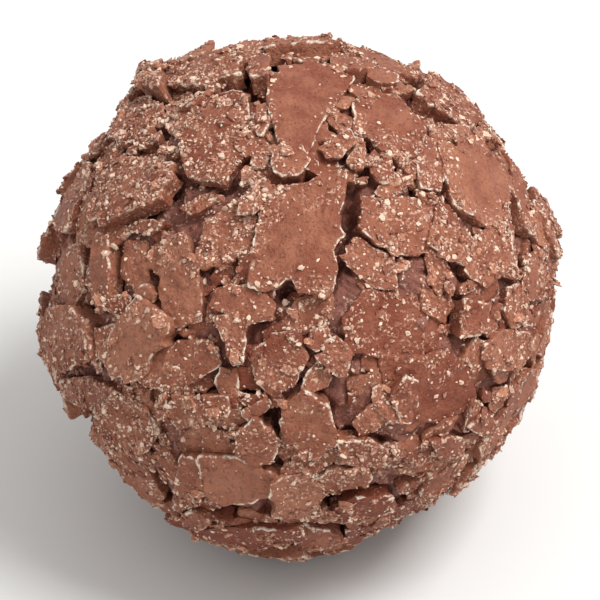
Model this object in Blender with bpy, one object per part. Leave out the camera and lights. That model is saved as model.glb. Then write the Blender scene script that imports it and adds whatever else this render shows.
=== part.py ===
"""A milk chocolate truffle rolled in flakes: a coated ball with flat shards of chocolate pressed into it.

The truffle is one solid. Its surface is the true one: every shard lies on the ball as a flat plate with
broken edges, its own lean and its own height, so the shards overlap, leave gaps and make the uneven outline.

Metres, +Z up. The origin is the middle of the flat foot that the truffle stands on. The shards of the show
face are placed by hand. That face looks along -Y and up, at SHOW_ELEVATION above the horizon.
"""

import math
from dataclasses import dataclass

import bmesh
import bpy
import numpy as np
from mathutils import Matrix, Vector

MM = 0.001

# Driving sizes, in millimetres
BALL_RADIUS = 15.0  # middle of the truffle to its mean outline
COAT_RADIUS = 14.15  # the chocolate coat that shows in the gaps
FOOT_RADIUS = 4.5  # the flat spot where the coat settled on the tray
FOOT_DROP = 14.3  # the flat spot lies this far below the middle
FOOT_SPREAD = 0.9  # how much wider the settled coat is where it meets the ball
FOOT_SIDES = 24
ROOT_DEPTH = 2.4  # how deep a shard is rooted in the coat
ROOT_SHARE = 0.82  # the root's outline as a share of the shard's

# The ball's own unevenness: hills and hollows on the rim of the show face, each with its bearing on the rim
# in degrees from right, its spread in degrees and its height in millimetres
RIM_SWELLS = (
    (1, 6, -0.50),
    (14, 8, 0.60),
    (45, 10, 0.75),
    (100, 14, 0.75),
    (121, 7, 1.00),
    (132, 7, 0.55),
    (170, 7, -0.60),
    (191, 8, 1.15),
    (211, 12, -0.70),
    (250, 10, 0.30),
    (277, 10, 0.20),
    (305, 20, -0.55),
)
WAVES = ((3, 0.16, 0.7), (4, 0.13, 2.1), (5, 0.11, 4.0))  # lobes round the ball, height in millimetres, phase

# How the shards lie
SHOW_ELEVATION = math.radians(40)
PLACED_LEAN = math.radians(5)
SCATTER_LEAN = math.radians(5)
LEAST_FACING = 0.42  # limits the stretch of shards that are seen nearly edge-on
LEAST_DEPTH = 0.02  # keeps shards at the rim of the show face on the ball
BOXINESS = 3.2  # 2 would be an ellipse, more is squarer
PLACED_JITTER = 0.14  # of the step from one corner to the next
SCATTER_CORNER_JITTER = 0.28
CORNER_RADIUS = (0.88, 1.06)

# Shards that cover the rest of the ball
SCATTERED = 230
SCATTER_SHIFT = 0.33  # of the distance between neighbours
SCATTER_LENGTH = (2.4, 6.4)
LENGTH_SPREAD = (1.8, 2.2)  # shape of the lengths' bell curve: most are just under the middle of the range
SCATTER_ASPECT = (0.6, 0.98)
SCATTER_TAPER = (0.0, 0.6)
SCATTER_LIFT = (0.15, 0.85)
SCATTER_CORNERS = (5, 7)
CLEARANCE = 0.62  # share of two shards' reach that keeps a scattered one off a placed one
SEED = 7

COAT_COLOUR = (0.235, 0.095, 0.060, 1.0)  # linear milk chocolate
COAT_ROUGHNESS = 0.5


@dataclass(frozen=True)
class MainShard:
    """One of the broad shards that give the show face its look.

    Corners are as seen from in front of that face, in millimetres right of the middle and up, clockwise. lift
    is the height over the coat, and raised is the bearing of the side that stands proud, in degrees from right.
    """

    lift: float
    raised: float
    corners: tuple


@dataclass(frozen=True)
class Shard:
    """A smaller shard placed by hand on the show face, as seen from in front of that face, in millimetres.

    right and up are its middle. length runs along turn and ends in a corner if tip is set. taper is how much
    it narrows towards that end. lift is its height over the coat, and raised is the side that stands proud.
    Both bearings are in degrees from right.
    """

    right: float
    up: float
    length: float
    width: float
    turn: float
    taper: float
    lift: float
    raised: float
    corners: int = 6
    tip: bool = False


MAIN_SHARDS = (
    # The shield at the top
    MainShard(
        0.50,
        200,
        ((-1.5, 13.1), (1.5, 13.4), (2.9, 12.6), (1.3, 10.3), (0.4, 8.5), (-1.1, 9.3), (-1.7, 11.4)),
    ),
    # The broad plate in the middle
    MainShard(
        0.80,
        0,
        ((-1.7, 6.1), (0.5, 6.4), (2.3, 7.1), (2.4, 3.5), (1.5, 0.6), (-2.7, 1.1), (-2.4, 3.3)),
    ),
    # The smooth sail on the right, and the sandy plate beside it
    MainShard(
        0.65,
        330,
        ((7.9, 9.3), (10.6, 9.1), (11.7, 7.2), (12.2, 4.3), (10.6, 4.6), (8.9, 5.4), (8.5, 6.6)),
    ),
    MainShard(
        0.60,
        200,
        ((3.2, 5.7), (8.0, 5.6), (8.7, 3.0), (5.6, 2.7), (4.5, 3.2), (3.2, 4.4)),
    ),
    # The rounded plates to the right and to the left of the shield
    MainShard(
        0.55,
        260,
        ((3.2, 11.2), (4.2, 12.1), (5.5, 11.9), (7.0, 9.8), (6.7, 8.6), (5.9, 8.1), (3.3, 9.8)),
    ),
    MainShard(
        0.50,
        200,
        ((-6.8, 9.8), (-4.8, 11.7), (-3.2, 11.7), (-2.9, 9.0), (-4.3, 6.9), (-6.3, 7.4)),
    ),
    # The two plates on the left
    MainShard(
        0.75,
        320,
        ((-9.3, 0.0), (-7.6, -1.2), (-7.6, -2.4), (-9.1, -4.3), (-10.4, -4.7), (-11.4, -3.0)),
    ),
    MainShard(
        0.80,
        300,
        ((-11.6, 7.8), (-8.6, 8.0), (-7.4, 7.1), (-7.5, 6.0), (-9.4, 5.1), (-11.3, 4.5)),
    ),
    # The smooth plate low on the left
    MainShard(
        0.65,
        270,
        ((-5.5, -9.0), (-3.4, -9.0), (-0.9, -10.3), (-1.4, -11.0), (-4.1, -11.8), (-5.3, -11.0)),
    ),
)

SMALLER_SHARDS = (
    # Round the shield, from left to right
    Shard(-8.7, 12.9, 3.4, 2.0, 125, 0.30, 1.30, 120, 4, True),
    Shard(-5.4, 13.2, 4.2, 2.4, 8, 0.10, 0.80, 100),
    Shard(-2.3, 13.2, 1.9, 1.5, 90, 0.00, 0.90, 270, 4),
    Shard(-2.2, 10.2, 2.1, 1.1, 85, 0.20, 0.60, 0, 5),
    Shard(0.0, 14.7, 4.2, 1.0, 2, 0.10, 0.95, 270),
    Shard(3.0, 13.6, 2.4, 1.2, -5, 0.10, 0.85, 270),
    Shard(4.6, 14.0, 4.6, 1.6, -24, 0.20, 0.45, 70),
    Shard(4.8, 12.7, 1.8, 1.1, -8, 0.10, 0.75, 90, 5),
    Shard(8.6, 11.6, 4.0, 2.6, -38, 0.20, 0.80, 60, 7),
    Shard(9.2, 9.7, 3.2, 1.1, -6, 0.10, 0.85, 270),
    # Between the shield and the plate in the middle
    Shard(-0.6, 7.9, 2.0, 2.0, 20, 0.10, 1.30, 270, 7),
    Shard(-2.3, 7.8, 1.1, 1.0, 60, 0.10, 0.90, 270, 5),
    Shard(2.1, 8.7, 1.9, 1.4, 25, 0.10, 0.95, 120),
    Shard(3.3, 8.2, 1.7, 1.2, 70, 0.50, 0.90, 0, 4),
    Shard(4.6, 7.4, 1.6, 1.4, 80, 0.10, 0.75, 100, 7),
    Shard(5.9, 7.1, 1.7, 1.2, 85, 0.10, 0.35, 0, 5),
    Shard(7.5, 7.6, 3.0, 2.1, 80, 0.10, 0.60, 180),
    Shard(-2.6, 5.7, 2.6, 1.2, 50, 0.10, 0.95, 140, 5),
    Shard(-4.1, 3.5, 4.2, 2.7, 55, 0.10, 0.40, 140),
    # The right side
    Shard(4.1, 1.9, 3.6, 2.5, -38, 0.30, 0.50, 60, 5, True),
    Shard(10.8, 2.6, 3.2, 3.0, 60, 0.20, 0.60, 0),
    Shard(12.8, 5.8, 3.8, 0.9, -80, 0.20, 0.45, 0, 5),
    Shard(14.6, 3.9, 3.0, 1.3, -72, 0.20, 0.75, 0),
    Shard(13.6, 1.4, 3.0, 1.7, 88, 0.10, 0.40, 0),
    Shard(9.9, -1.0, 2.3, 1.7, 86, 0.00, 0.85, 180, 4),
    Shard(12.3, -0.3, 2.3, 1.7, 100, 0.20, 0.75, 0),
    Shard(12.0, -2.9, 2.7, 2.5, 15, 0.20, 0.75, 290),
    Shard(14.6, -1.6, 3.4, 1.0, 88, 0.20, 0.40, 0),
    Shard(13.0, -5.2, 2.6, 1.5, 65, 0.20, 0.50, 0),
    Shard(10.6, -7.2, 1.8, 1.3, 15, 0.10, 0.70, 240, 5),
    Shard(8.6, -8.4, 2.1, 1.5, -15, 0.10, 0.70, 200, 5),
    Shard(8.4, -10.4, 3.4, 1.7, 50, 0.10, 0.50, 300),
    Shard(5.4, -1.5, 5.6, 3.8, -10, 0.20, 0.20, 200, 7),
    Shard(7.4, -5.0, 5.4, 4.0, 5, 0.10, 0.25, 60, 7),
    Shard(5.9, -5.4, 2.2, 1.7, 70, 0.30, 0.75, 100, 5),
    # Under the plate in the middle
    Shard(-3.2, -0.2, 3.5, 2.2, -12, 0.15, 0.75, 260),
    Shard(-3.7, -2.3, 3.0, 2.8, -85, 0.80, 0.95, 270, 4),
    Shard(0.4, -0.9, 2.4, 2.1, 30, 0.10, 0.30, 90),
    Shard(-1.2, -3.5, 3.2, 3.0, 30, 0.10, 0.45, 330, 7),
    Shard(2.1, -3.2, 2.4, 2.2, 115, 0.55, 0.65, 350, 5),
    Shard(-4.1, -4.7, 1.9, 1.4, -70, 0.20, 0.50, 180, 5),
    Shard(-2.4, -6.2, 1.8, 0.9, 30, 0.10, 0.75, 90, 4),
    Shard(0.4, -7.2, 3.6, 3.1, -50, 0.10, 0.85, 45, 6),
    Shard(-2.4, -8.2, 2.6, 2.3, 80, 0.10, 0.85, 180, 7),
    Shard(3.6, -8.7, 2.7, 1.8, -10, 0.20, 0.75, 130),
    Shard(2.4, -10.2, 3.1, 1.6, 6, 0.20, 0.70, 90, 5),
    Shard(-0.2, -9.8, 1.9, 1.1, -5, 0.10, 0.70, 90, 5),
    Shard(3.6, -12.1, 3.8, 1.5, 12, 0.10, 0.60, 290),
    Shard(3.4, -13.8, 2.4, 1.2, 10, 0.10, 0.60, 270, 5),
    Shard(6.3, -12.5, 3.2, 1.1, 28, 0.10, 0.40, 300),
    # The left side
    Shard(-11.8, 8.8, 2.0, 1.1, 30, 0.10, 0.65, 120, 5),
    Shard(-9.5, 10.4, 3.2, 2.2, 42, 0.20, 0.85, 150),
    Shard(-13.0, 5.9, 4.2, 1.5, 70, 0.10, 0.50, 180),
    Shard(-14.4, 2.2, 4.4, 0.9, 86, 0.10, 0.30, 180),
    Shard(-13.0, 1.3, 3.6, 1.8, 88, 0.10, 0.45, 180, 5),
    Shard(-11.4, 1.5, 4.2, 1.2, 88, 0.10, 0.70, 0),
    Shard(-9.3, 1.8, 3.4, 1.9, 95, 0.20, 0.20, 180, 5),
    Shard(-6.9, 1.0, 4.8, 2.9, 98, 0.20, 0.40, 20),
    Shard(-7.0, -3.7, 4.6, 2.9, 15, 0.10, 0.45, 270),
    Shard(-13.7, -2.3, 3.6, 3.0, 100, 0.10, 1.00, 180, 7),
    Shard(-12.4, -5.3, 3.4, 1.8, -10, 0.10, 0.35, 220),
    Shard(-5.9, -6.2, 3.8, 2.0, 5, 0.10, 0.80, 0, 5),
    Shard(-10.0, -7.2, 3.8, 3.2, -30, 0.10, 0.50, 220, 7),
    Shard(-5.3, -8.1, 2.9, 1.8, -5, 0.10, 0.25, 90, 5),
    Shard(-6.3, -10.4, 3.0, 1.7, -85, 0.20, 0.70, 300),
    Shard(-6.0, -12.6, 1.6, 1.1, -10, 0.10, 0.85, 300, 7),
    Shard(-9.6, -10.2, 4.6, 1.8, -50, 0.10, 0.45, 220),
    Shard(-3.0, -13.5, 6.0, 1.3, 2, 0.10, 0.60, 270),
)


@dataclass(frozen=True)
class Plate:
    """A shard's flat top: its middle, the way it faces and its corners, in millimetres from the ball's middle."""

    middle: np.ndarray
    normal: np.ndarray
    corners: np.ndarray


def unit(vector):
    """The vector at length 1."""
    vector = np.asarray(vector, float)
    return vector / np.linalg.norm(vector)


def show_axes():
    """The show face's right, up and outward directions."""
    sine, cosine = math.sin(SHOW_ELEVATION), math.cos(SHOW_ELEVATION)
    return np.array([1.0, 0.0, 0.0]), np.array([0.0, sine, cosine]), np.array([0.0, -cosine, sine])


def bearing(degrees):
    """The direction at a bearing on the show face, seen from in front of it."""
    right, up, _ = show_axes()
    angle = math.radians(degrees)
    return math.cos(angle) * right + math.sin(angle) * up


def swell(out):
    """The ball's unevenness at a unit direction: soft waves all over, and the rim's hills and hollows."""
    height = 0.0
    for lobes, size, phase in WAVES:
        turn = math.atan2(out[1], out[0])
        height += size * math.sin(lobes * turn + phase) * math.cos(lobes * math.asin(out[2]) + 2 * phase)
    for angle, spread, rise in RIM_SWELLS:
        apart = math.degrees(math.acos(max(-1.0, min(1.0, float(out @ bearing(angle))))))
        height += rise * math.exp(-0.5 * (apart / spread) ** 2)
    return height


def tangents(out):
    """Two unit vectors square to out and to each other."""
    helper = np.array([0.0, 0.0, 1.0]) if abs(out[2]) < 0.9 else np.array([1.0, 0.0, 0.0])
    first = unit(np.cross(helper, out))
    return first, np.cross(out, first)


def broken_outline(rng, length, width, taper, corners, jitter, start):
    """The corners of a broken shard, anticlockwise: a boxy oval with few, uneven corners, and a narrower end."""
    steps = np.arange(corners) + start + rng.uniform(-jitter, jitter, corners)
    angles = 2 * math.pi * steps / corners
    cosine, sine = np.cos(angles), np.sin(angles)
    boxy = (np.abs(cosine) ** BOXINESS + np.abs(sine) ** BOXINESS) ** (-1 / BOXINESS)
    radius = boxy * rng.uniform(*CORNER_RADIUS, corners)
    along, across = radius * cosine, radius * sine
    narrowing = 1 - taper * (1 + along) / 2
    return np.column_stack([along * length / 2, across * narrowing * width / 2])


def shaped_plate(rng, shard):
    """A smaller shard of the show face."""
    start = 0.0 if shard.tip else 0.5
    outline = broken_outline(rng, shard.length, shard.width, shard.taper, shard.corners, PLACED_JITTER, start)
    turn = math.radians(shard.turn)
    along = np.array([math.cos(turn), math.sin(turn)])
    across = np.array([-math.sin(turn), math.cos(turn)])
    middle = np.array([shard.right, shard.up])
    return placed_plate(middle, outline @ np.array([along, across]), shard.lift, shard.raised)


def main_plate(shard):
    """A broad shard of the show face."""
    corners = np.array(shard.corners[::-1])
    middle = corners.mean(axis=0)
    return placed_plate(middle, corners - middle, shard.lift, shard.raised)


def placed_plate(middle, outline, lift, raised):
    """A shard of the show face, carried back from the face to the ball along the line of sight."""
    right, up, outward = show_axes()
    seen = middle / (COAT_RADIUS + lift)
    facing = math.sqrt(max(1 - seen @ seen, LEAST_DEPTH))
    out = unit(seen[0] * right + seen[1] * up + facing * outward)
    proud = bearing(raised)
    proud = unit(proud - out * (proud @ out))
    normal = unit(out - math.tan(PLACED_LEAN) * proud)
    carried = []
    for axis in (right, up):
        slid = axis - outward * (axis @ normal) / max(outward @ normal, LEAST_FACING)
        carried.append(slid - normal * (slid @ normal))
    centre = out * (COAT_RADIUS + swell(out) + lift)
    return Plate(centre, normal, centre + outline @ np.array(carried))


def scattered_plate(rng, index):
    """A shard of the rest of the ball: one point of a golden spiral, moved and turned at random."""
    height = 1 - (2 * index + 1) / SCATTERED
    golden = math.pi * (3 - math.sqrt(5)) * index
    ring = math.sqrt(1 - height**2)
    out = np.array([ring * math.cos(golden), ring * math.sin(golden), height])
    first, second = tangents(out)
    moved = rng.normal(0.0, SCATTER_SHIFT * math.sqrt(4 * math.pi / SCATTERED), 2)
    out = unit(out + moved[0] * first + moved[1] * second)
    first, second = tangents(out)
    lean = np.tan(rng.normal(0.0, SCATTER_LEAN, 2))
    normal = unit(out + lean[0] * first + lean[1] * second)
    shortest, longest = SCATTER_LENGTH
    length = shortest + (longest - shortest) * rng.beta(*LENGTH_SPREAD)
    width = length * rng.uniform(*SCATTER_ASPECT)
    taper = rng.uniform(*SCATTER_TAPER)
    corners = int(rng.integers(SCATTER_CORNERS[0], SCATTER_CORNERS[1] + 1))
    start = rng.uniform(0.0, 1.0)
    outline = broken_outline(rng, length, width, taper, corners, SCATTER_CORNER_JITTER, start)
    first, second = tangents(normal)
    turn = rng.uniform(0.0, 2 * math.pi)
    along = math.cos(turn) * first + math.sin(turn) * second
    middle = out * (COAT_RADIUS + swell(out) + rng.uniform(*SCATTER_LIFT))
    return Plate(middle, normal, middle + outline @ np.array([along, np.cross(normal, along)]))


def reach(plate):
    """The distance from the plate's middle to its furthest corner."""
    return float(np.linalg.norm(plate.corners - plate.middle, axis=1).max())


def all_plates():
    """The placed shards, then the scattered ones that lie clear enough of them."""
    rng = np.random.default_rng(SEED)
    placed = [main_plate(shard) for shard in MAIN_SHARDS]
    placed += [shaped_plate(rng, shard) for shard in SMALLER_SHARDS]
    plates = list(placed)
    for index in range(SCATTERED):
        plate = scattered_plate(rng, index)
        if all(
            np.linalg.norm(plate.middle - other.middle) > CLEARANCE * (reach(plate) + reach(other))
            for other in placed
        ):
            plates.append(plate)
    return plates


def chocolate():
    """Tempered milk chocolate: a warm mid brown with a soft sheen."""
    material = bpy.data.materials.new("milk_chocolate")
    material.use_nodes = True
    shader = material.node_tree.nodes["Principled BSDF"]
    shader.inputs["Base Color"].default_value = COAT_COLOUR
    shader.inputs["Roughness"].default_value = COAT_ROUGHNESS
    shader.inputs["Metallic"].default_value = 0.0
    return material


def to_object(name, bm):
    """A new object in the scene that holds the bmesh."""
    mesh = bpy.data.meshes.new(name)
    bm.to_mesh(mesh)
    bm.free()
    made = bpy.data.objects.new(name, mesh)
    bpy.context.scene.collection.objects.link(made)
    return made


def helper(made, collection=None):
    """Marks an object as a tool for shaping others, and moves it to its collection."""
    made.hide_render = True
    made.display_type = "WIRE"
    if collection is not None:
        bpy.context.scene.collection.objects.unlink(made)
        collection.objects.link(made)
    return made


def coat_ball(centre):
    """The uneven coated ball under the shards."""
    bm = bmesh.new()
    bmesh.ops.create_icosphere(bm, subdivisions=4, radius=COAT_RADIUS * MM)
    for vertex in bm.verts:
        out = vertex.co.normalized()
        vertex.co += out * swell(np.array(out)) * MM
    bmesh.ops.translate(bm, vec=centre, verts=bm.verts)
    return to_object("truffle", bm)


def settled_foot():
    """The low cone of coat that settled flat on the tray, from the ground up into the ball."""
    top = FOOT_RADIUS + FOOT_SPREAD
    height = FOOT_DROP - math.sqrt(COAT_RADIUS**2 - top**2) + FOOT_SPREAD
    bm = bmesh.new()
    bmesh.ops.create_cone(
        bm,
        cap_ends=True,
        segments=FOOT_SIDES,
        radius1=FOOT_RADIUS * MM,
        radius2=top * MM,
        depth=height * MM,
        matrix=Matrix.Translation((0, 0, height / 2 * MM)),
    )
    return helper(to_object("settled_foot", bm))


def shard_block(name, plate, centre, collection):
    """A shard with its root in the coat: the flat top, and sides that close in a little on the way down."""
    bm = bmesh.new()
    top = [bm.verts.new(centre + Vector(corner) * MM) for corner in plate.corners]
    roots = plate.middle + (plate.corners - plate.middle) * ROOT_SHARE - plate.normal * ROOT_DEPTH
    bottom = [bm.verts.new(centre + Vector(root) * MM) for root in roots]
    bm.faces.new(top)
    bm.faces.new(reversed(bottom))
    for i in range(len(top)):
        j = (i + 1) % len(top)
        bm.faces.new((bottom[i], bottom[j], top[j], top[i]))
    bmesh.ops.recalc_face_normals(bm, faces=bm.faces)
    return helper(to_object(name, bm), collection)


def ground_cutter():
    """A block under the ground plane, which cuts off what hangs below the foot."""
    side = 3 * BALL_RADIUS * MM
    bm = bmesh.new()
    bmesh.ops.create_cube(bm, size=side, matrix=Matrix.Translation((0, 0, -side / 2)))
    return helper(to_object("ground_cutter", bm))


def add_boolean(target, operation, other=None, group=None):
    """An exact Boolean on target, with one object or with a collection of them."""
    modifier = target.modifiers.new(operation.lower(), "BOOLEAN")
    modifier.operation = operation
    modifier.solver = "EXACT"
    if group is None:
        modifier.object = other
    else:
        modifier.operand_type = "COLLECTION"
        modifier.collection = group
    return modifier


def connected_skins(bm):
    """The mesh's faces in groups that hang together."""
    unseen = set(bm.faces)
    skins = []
    while unseen:
        start = unseen.pop()
        skin = {start}
        front = [start]
        while front:
            near = {other for edge in front.pop().edges for other in edge.link_faces} - skin
            skin |= near
            front.extend(near)
        unseen -= skin
        skins.append(skin)
    return skins


def keep_outer_skin(made):
    """Applies the modifiers and keeps the outer skin, without the small voids closed in under shards."""
    evaluated = made.evaluated_get(bpy.context.evaluated_depsgraph_get())
    bm = bmesh.new()
    bm.from_mesh(evaluated.to_mesh())
    evaluated.to_mesh_clear()
    outer = max(connected_skins(bm), key=len)
    bmesh.ops.delete(bm, geom=[face for face in bm.faces if face not in outer], context="FACES")
    bm.to_mesh(made.data)
    bm.free()
    made.modifiers.clear()


def ball_centre(plates):
    """The ball's middle, in metres, which centres the shards' outermost corners over the origin."""
    corners = np.vstack([plate.corners for plate in plates])
    shift = -(corners.max(axis=0) + corners.min(axis=0)) / 2
    return Vector((shift[0], shift[1], FOOT_DROP)) * MM


def main():
    """Builds the truffle."""
    for old in list(bpy.data.objects):
        bpy.data.objects.remove(old)
    plates = all_plates()
    centre = ball_centre(plates)
    truffle = coat_ball(centre)
    truffle.data.materials.append(chocolate())
    shards = bpy.data.collections.new("shards")
    bpy.context.scene.collection.children.link(shards)
    for number, plate in enumerate(plates):
        shard_block(f"shard_{number:03d}", plate, centre, shards)
    add_boolean(truffle, "UNION", other=settled_foot())
    add_boolean(truffle, "UNION", group=shards)
    add_boolean(truffle, "DIFFERENCE", other=ground_cutter())
    keep_outer_skin(truffle)


if __name__ == "__main__":
    main()
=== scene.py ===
"""The looks of a milk chocolate truffle that was rolled in broken flakes of milk chocolate.

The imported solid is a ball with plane-faced shards. Here the same layout is worked out again, and every shard
becomes a flake of its own, with broken edges and a grainy face, over a slightly smaller coat. Chips, crumbs and
dust lie on top. Shapes are worked out in millimetres from the ball's middle, and turned to metres in the frame
as they go into a mesh.
"""

import logging
import math
from dataclasses import dataclass, field
from enum import Enum

import bpy
import numpy as np
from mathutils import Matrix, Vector
from mathutils.bvhtree import BVHTree


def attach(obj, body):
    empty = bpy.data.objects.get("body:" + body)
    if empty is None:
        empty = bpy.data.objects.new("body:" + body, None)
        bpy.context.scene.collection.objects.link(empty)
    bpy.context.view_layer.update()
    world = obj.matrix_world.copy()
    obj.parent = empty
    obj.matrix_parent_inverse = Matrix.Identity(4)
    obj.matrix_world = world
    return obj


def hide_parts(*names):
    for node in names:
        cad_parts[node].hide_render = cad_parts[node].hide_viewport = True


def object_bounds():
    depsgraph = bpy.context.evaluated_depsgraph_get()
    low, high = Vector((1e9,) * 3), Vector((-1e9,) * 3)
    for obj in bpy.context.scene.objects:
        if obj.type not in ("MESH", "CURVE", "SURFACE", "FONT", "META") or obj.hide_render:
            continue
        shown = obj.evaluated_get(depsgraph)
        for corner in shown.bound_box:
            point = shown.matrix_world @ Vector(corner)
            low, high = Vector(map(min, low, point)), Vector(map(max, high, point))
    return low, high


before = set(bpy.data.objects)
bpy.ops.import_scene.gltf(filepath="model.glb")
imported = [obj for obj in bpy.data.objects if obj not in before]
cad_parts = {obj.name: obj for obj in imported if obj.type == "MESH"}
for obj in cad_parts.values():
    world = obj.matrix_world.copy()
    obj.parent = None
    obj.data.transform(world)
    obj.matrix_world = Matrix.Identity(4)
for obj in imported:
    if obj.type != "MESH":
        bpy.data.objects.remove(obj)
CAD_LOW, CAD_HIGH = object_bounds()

MM = 0.001
SHOW_ELEVATION = math.radians(40)  # the show face looks along -Y and this far up
BALL_RADIUS = 15.0
COAT_RADIUS = 14.15
FOOT_RADIUS = 4.5
FOOT_DROP = 14.3
FOOT_SPREAD = 0.9

# The ball's own unevenness: hills and hollows on the rim of the show face, each with its bearing on the rim
# in degrees from right, its spread in degrees and its height in millimetres
RIM_SWELLS = (
    (1, 6, -0.50),
    (14, 8, 0.60),
    (45, 10, 0.75),
    (100, 14, 0.75),
    (121, 7, 1.00),
    (132, 7, 0.55),
    (170, 7, -0.60),
    (191, 8, 1.15),
    (211, 12, -0.70),
    (250, 10, 0.30),
    (277, 10, 0.20),
    (305, 20, -0.55),
)
WAVES = ((3, 0.16, 0.7), (4, 0.13, 2.1), (5, 0.11, 4.0))  # lobes round the ball, height in millimetres, phase


@dataclass(frozen=True)
class MainShard:
    """One of the broad shards that give the show face its look.

    Corners are as seen from in front of that face, in millimetres right of the middle and up, clockwise. lift
    is the height over the coat, and raised is the bearing of the side that stands proud, in degrees from right.
    tone runs from -1, dark, to 1, light.
    """

    lift: float
    raised: float
    corners: tuple[tuple[float, float], ...]
    tone: float = 0.0


@dataclass(frozen=True)
class Shard:
    """A smaller shard on the show face, as seen from in front of that face, in millimetres.

    right and up are its middle. length runs along turn and ends in a corner if tip is set. taper is how much
    it narrows towards that end. lift is its height over the coat, and raised is the side that stands proud.
    Both bearings are in degrees from right. tone runs from -1, dark, to 1, light; the shards at the bottom edge go
    below -1, and that extra dark is painted shade.
    """

    right: float
    up: float
    length: float
    width: float
    turn: float
    taper: float
    lift: float
    raised: float
    corners: int = 6
    tip: bool = False
    tone: float = 0.0


MAIN_SHARDS = (
    # The shield at the top
    MainShard(
        0.50,
        200,
        ((-1.5, 13.1), (1.5, 13.4), (2.9, 12.6), (1.3, 10.3), (0.4, 8.5), (-1.1, 9.3), (-1.7, 11.4)),
        -0.2,
    ),
    # The broad plate in the middle
    MainShard(
        0.80,
        0,
        ((-1.7, 6.1), (0.5, 6.4), (2.3, 7.1), (2.4, 3.5), (1.5, 0.6), (-2.7, 1.1), (-2.4, 3.3)),
        -0.15,
    ),
    # The smooth sail on the right, and the sandy plate beside it
    MainShard(
        0.65,
        330,
        ((7.9, 9.3), (10.6, 9.1), (11.7, 7.2), (12.2, 4.3), (10.6, 4.6), (8.9, 5.4), (8.5, 6.6)),
        0.0,
    ),
    MainShard(
        0.60,
        200,
        ((3.2, 5.7), (8.0, 5.6), (8.7, 3.0), (5.6, 2.7), (4.5, 3.2), (3.2, 4.4)),
        0.1,
    ),
    # The rounded plates to the right and to the left of the shield
    MainShard(
        0.55,
        260,
        ((3.2, 11.2), (4.2, 12.1), (5.5, 11.9), (7.0, 9.8), (6.7, 8.6), (5.9, 8.1), (3.3, 9.8)),
        0.1,
    ),
    MainShard(
        0.50,
        200,
        ((-6.8, 9.8), (-4.8, 11.7), (-3.2, 11.7), (-2.9, 9.0), (-4.3, 6.9), (-6.3, 7.4)),
        -0.7,
    ),
    # The two plates on the left
    MainShard(
        0.75,
        320,
        ((-9.3, 0.0), (-7.6, -1.2), (-7.6, -2.4), (-9.1, -4.3), (-10.4, -4.7), (-11.4, -3.0)),
        1.2,
    ),
    MainShard(
        0.80,
        300,
        ((-11.6, 7.8), (-8.6, 8.0), (-7.4, 7.1), (-7.5, 6.0), (-9.4, 5.1), (-11.3, 4.5)),
    ),
    # The smooth plate low on the left
    MainShard(
        0.65,
        270,
        ((-5.5, -9.0), (-3.4, -9.0), (-0.9, -10.3), (-1.4, -11.0), (-4.1, -11.8), (-5.3, -11.0)),
        0.9,
    ),
)

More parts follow.
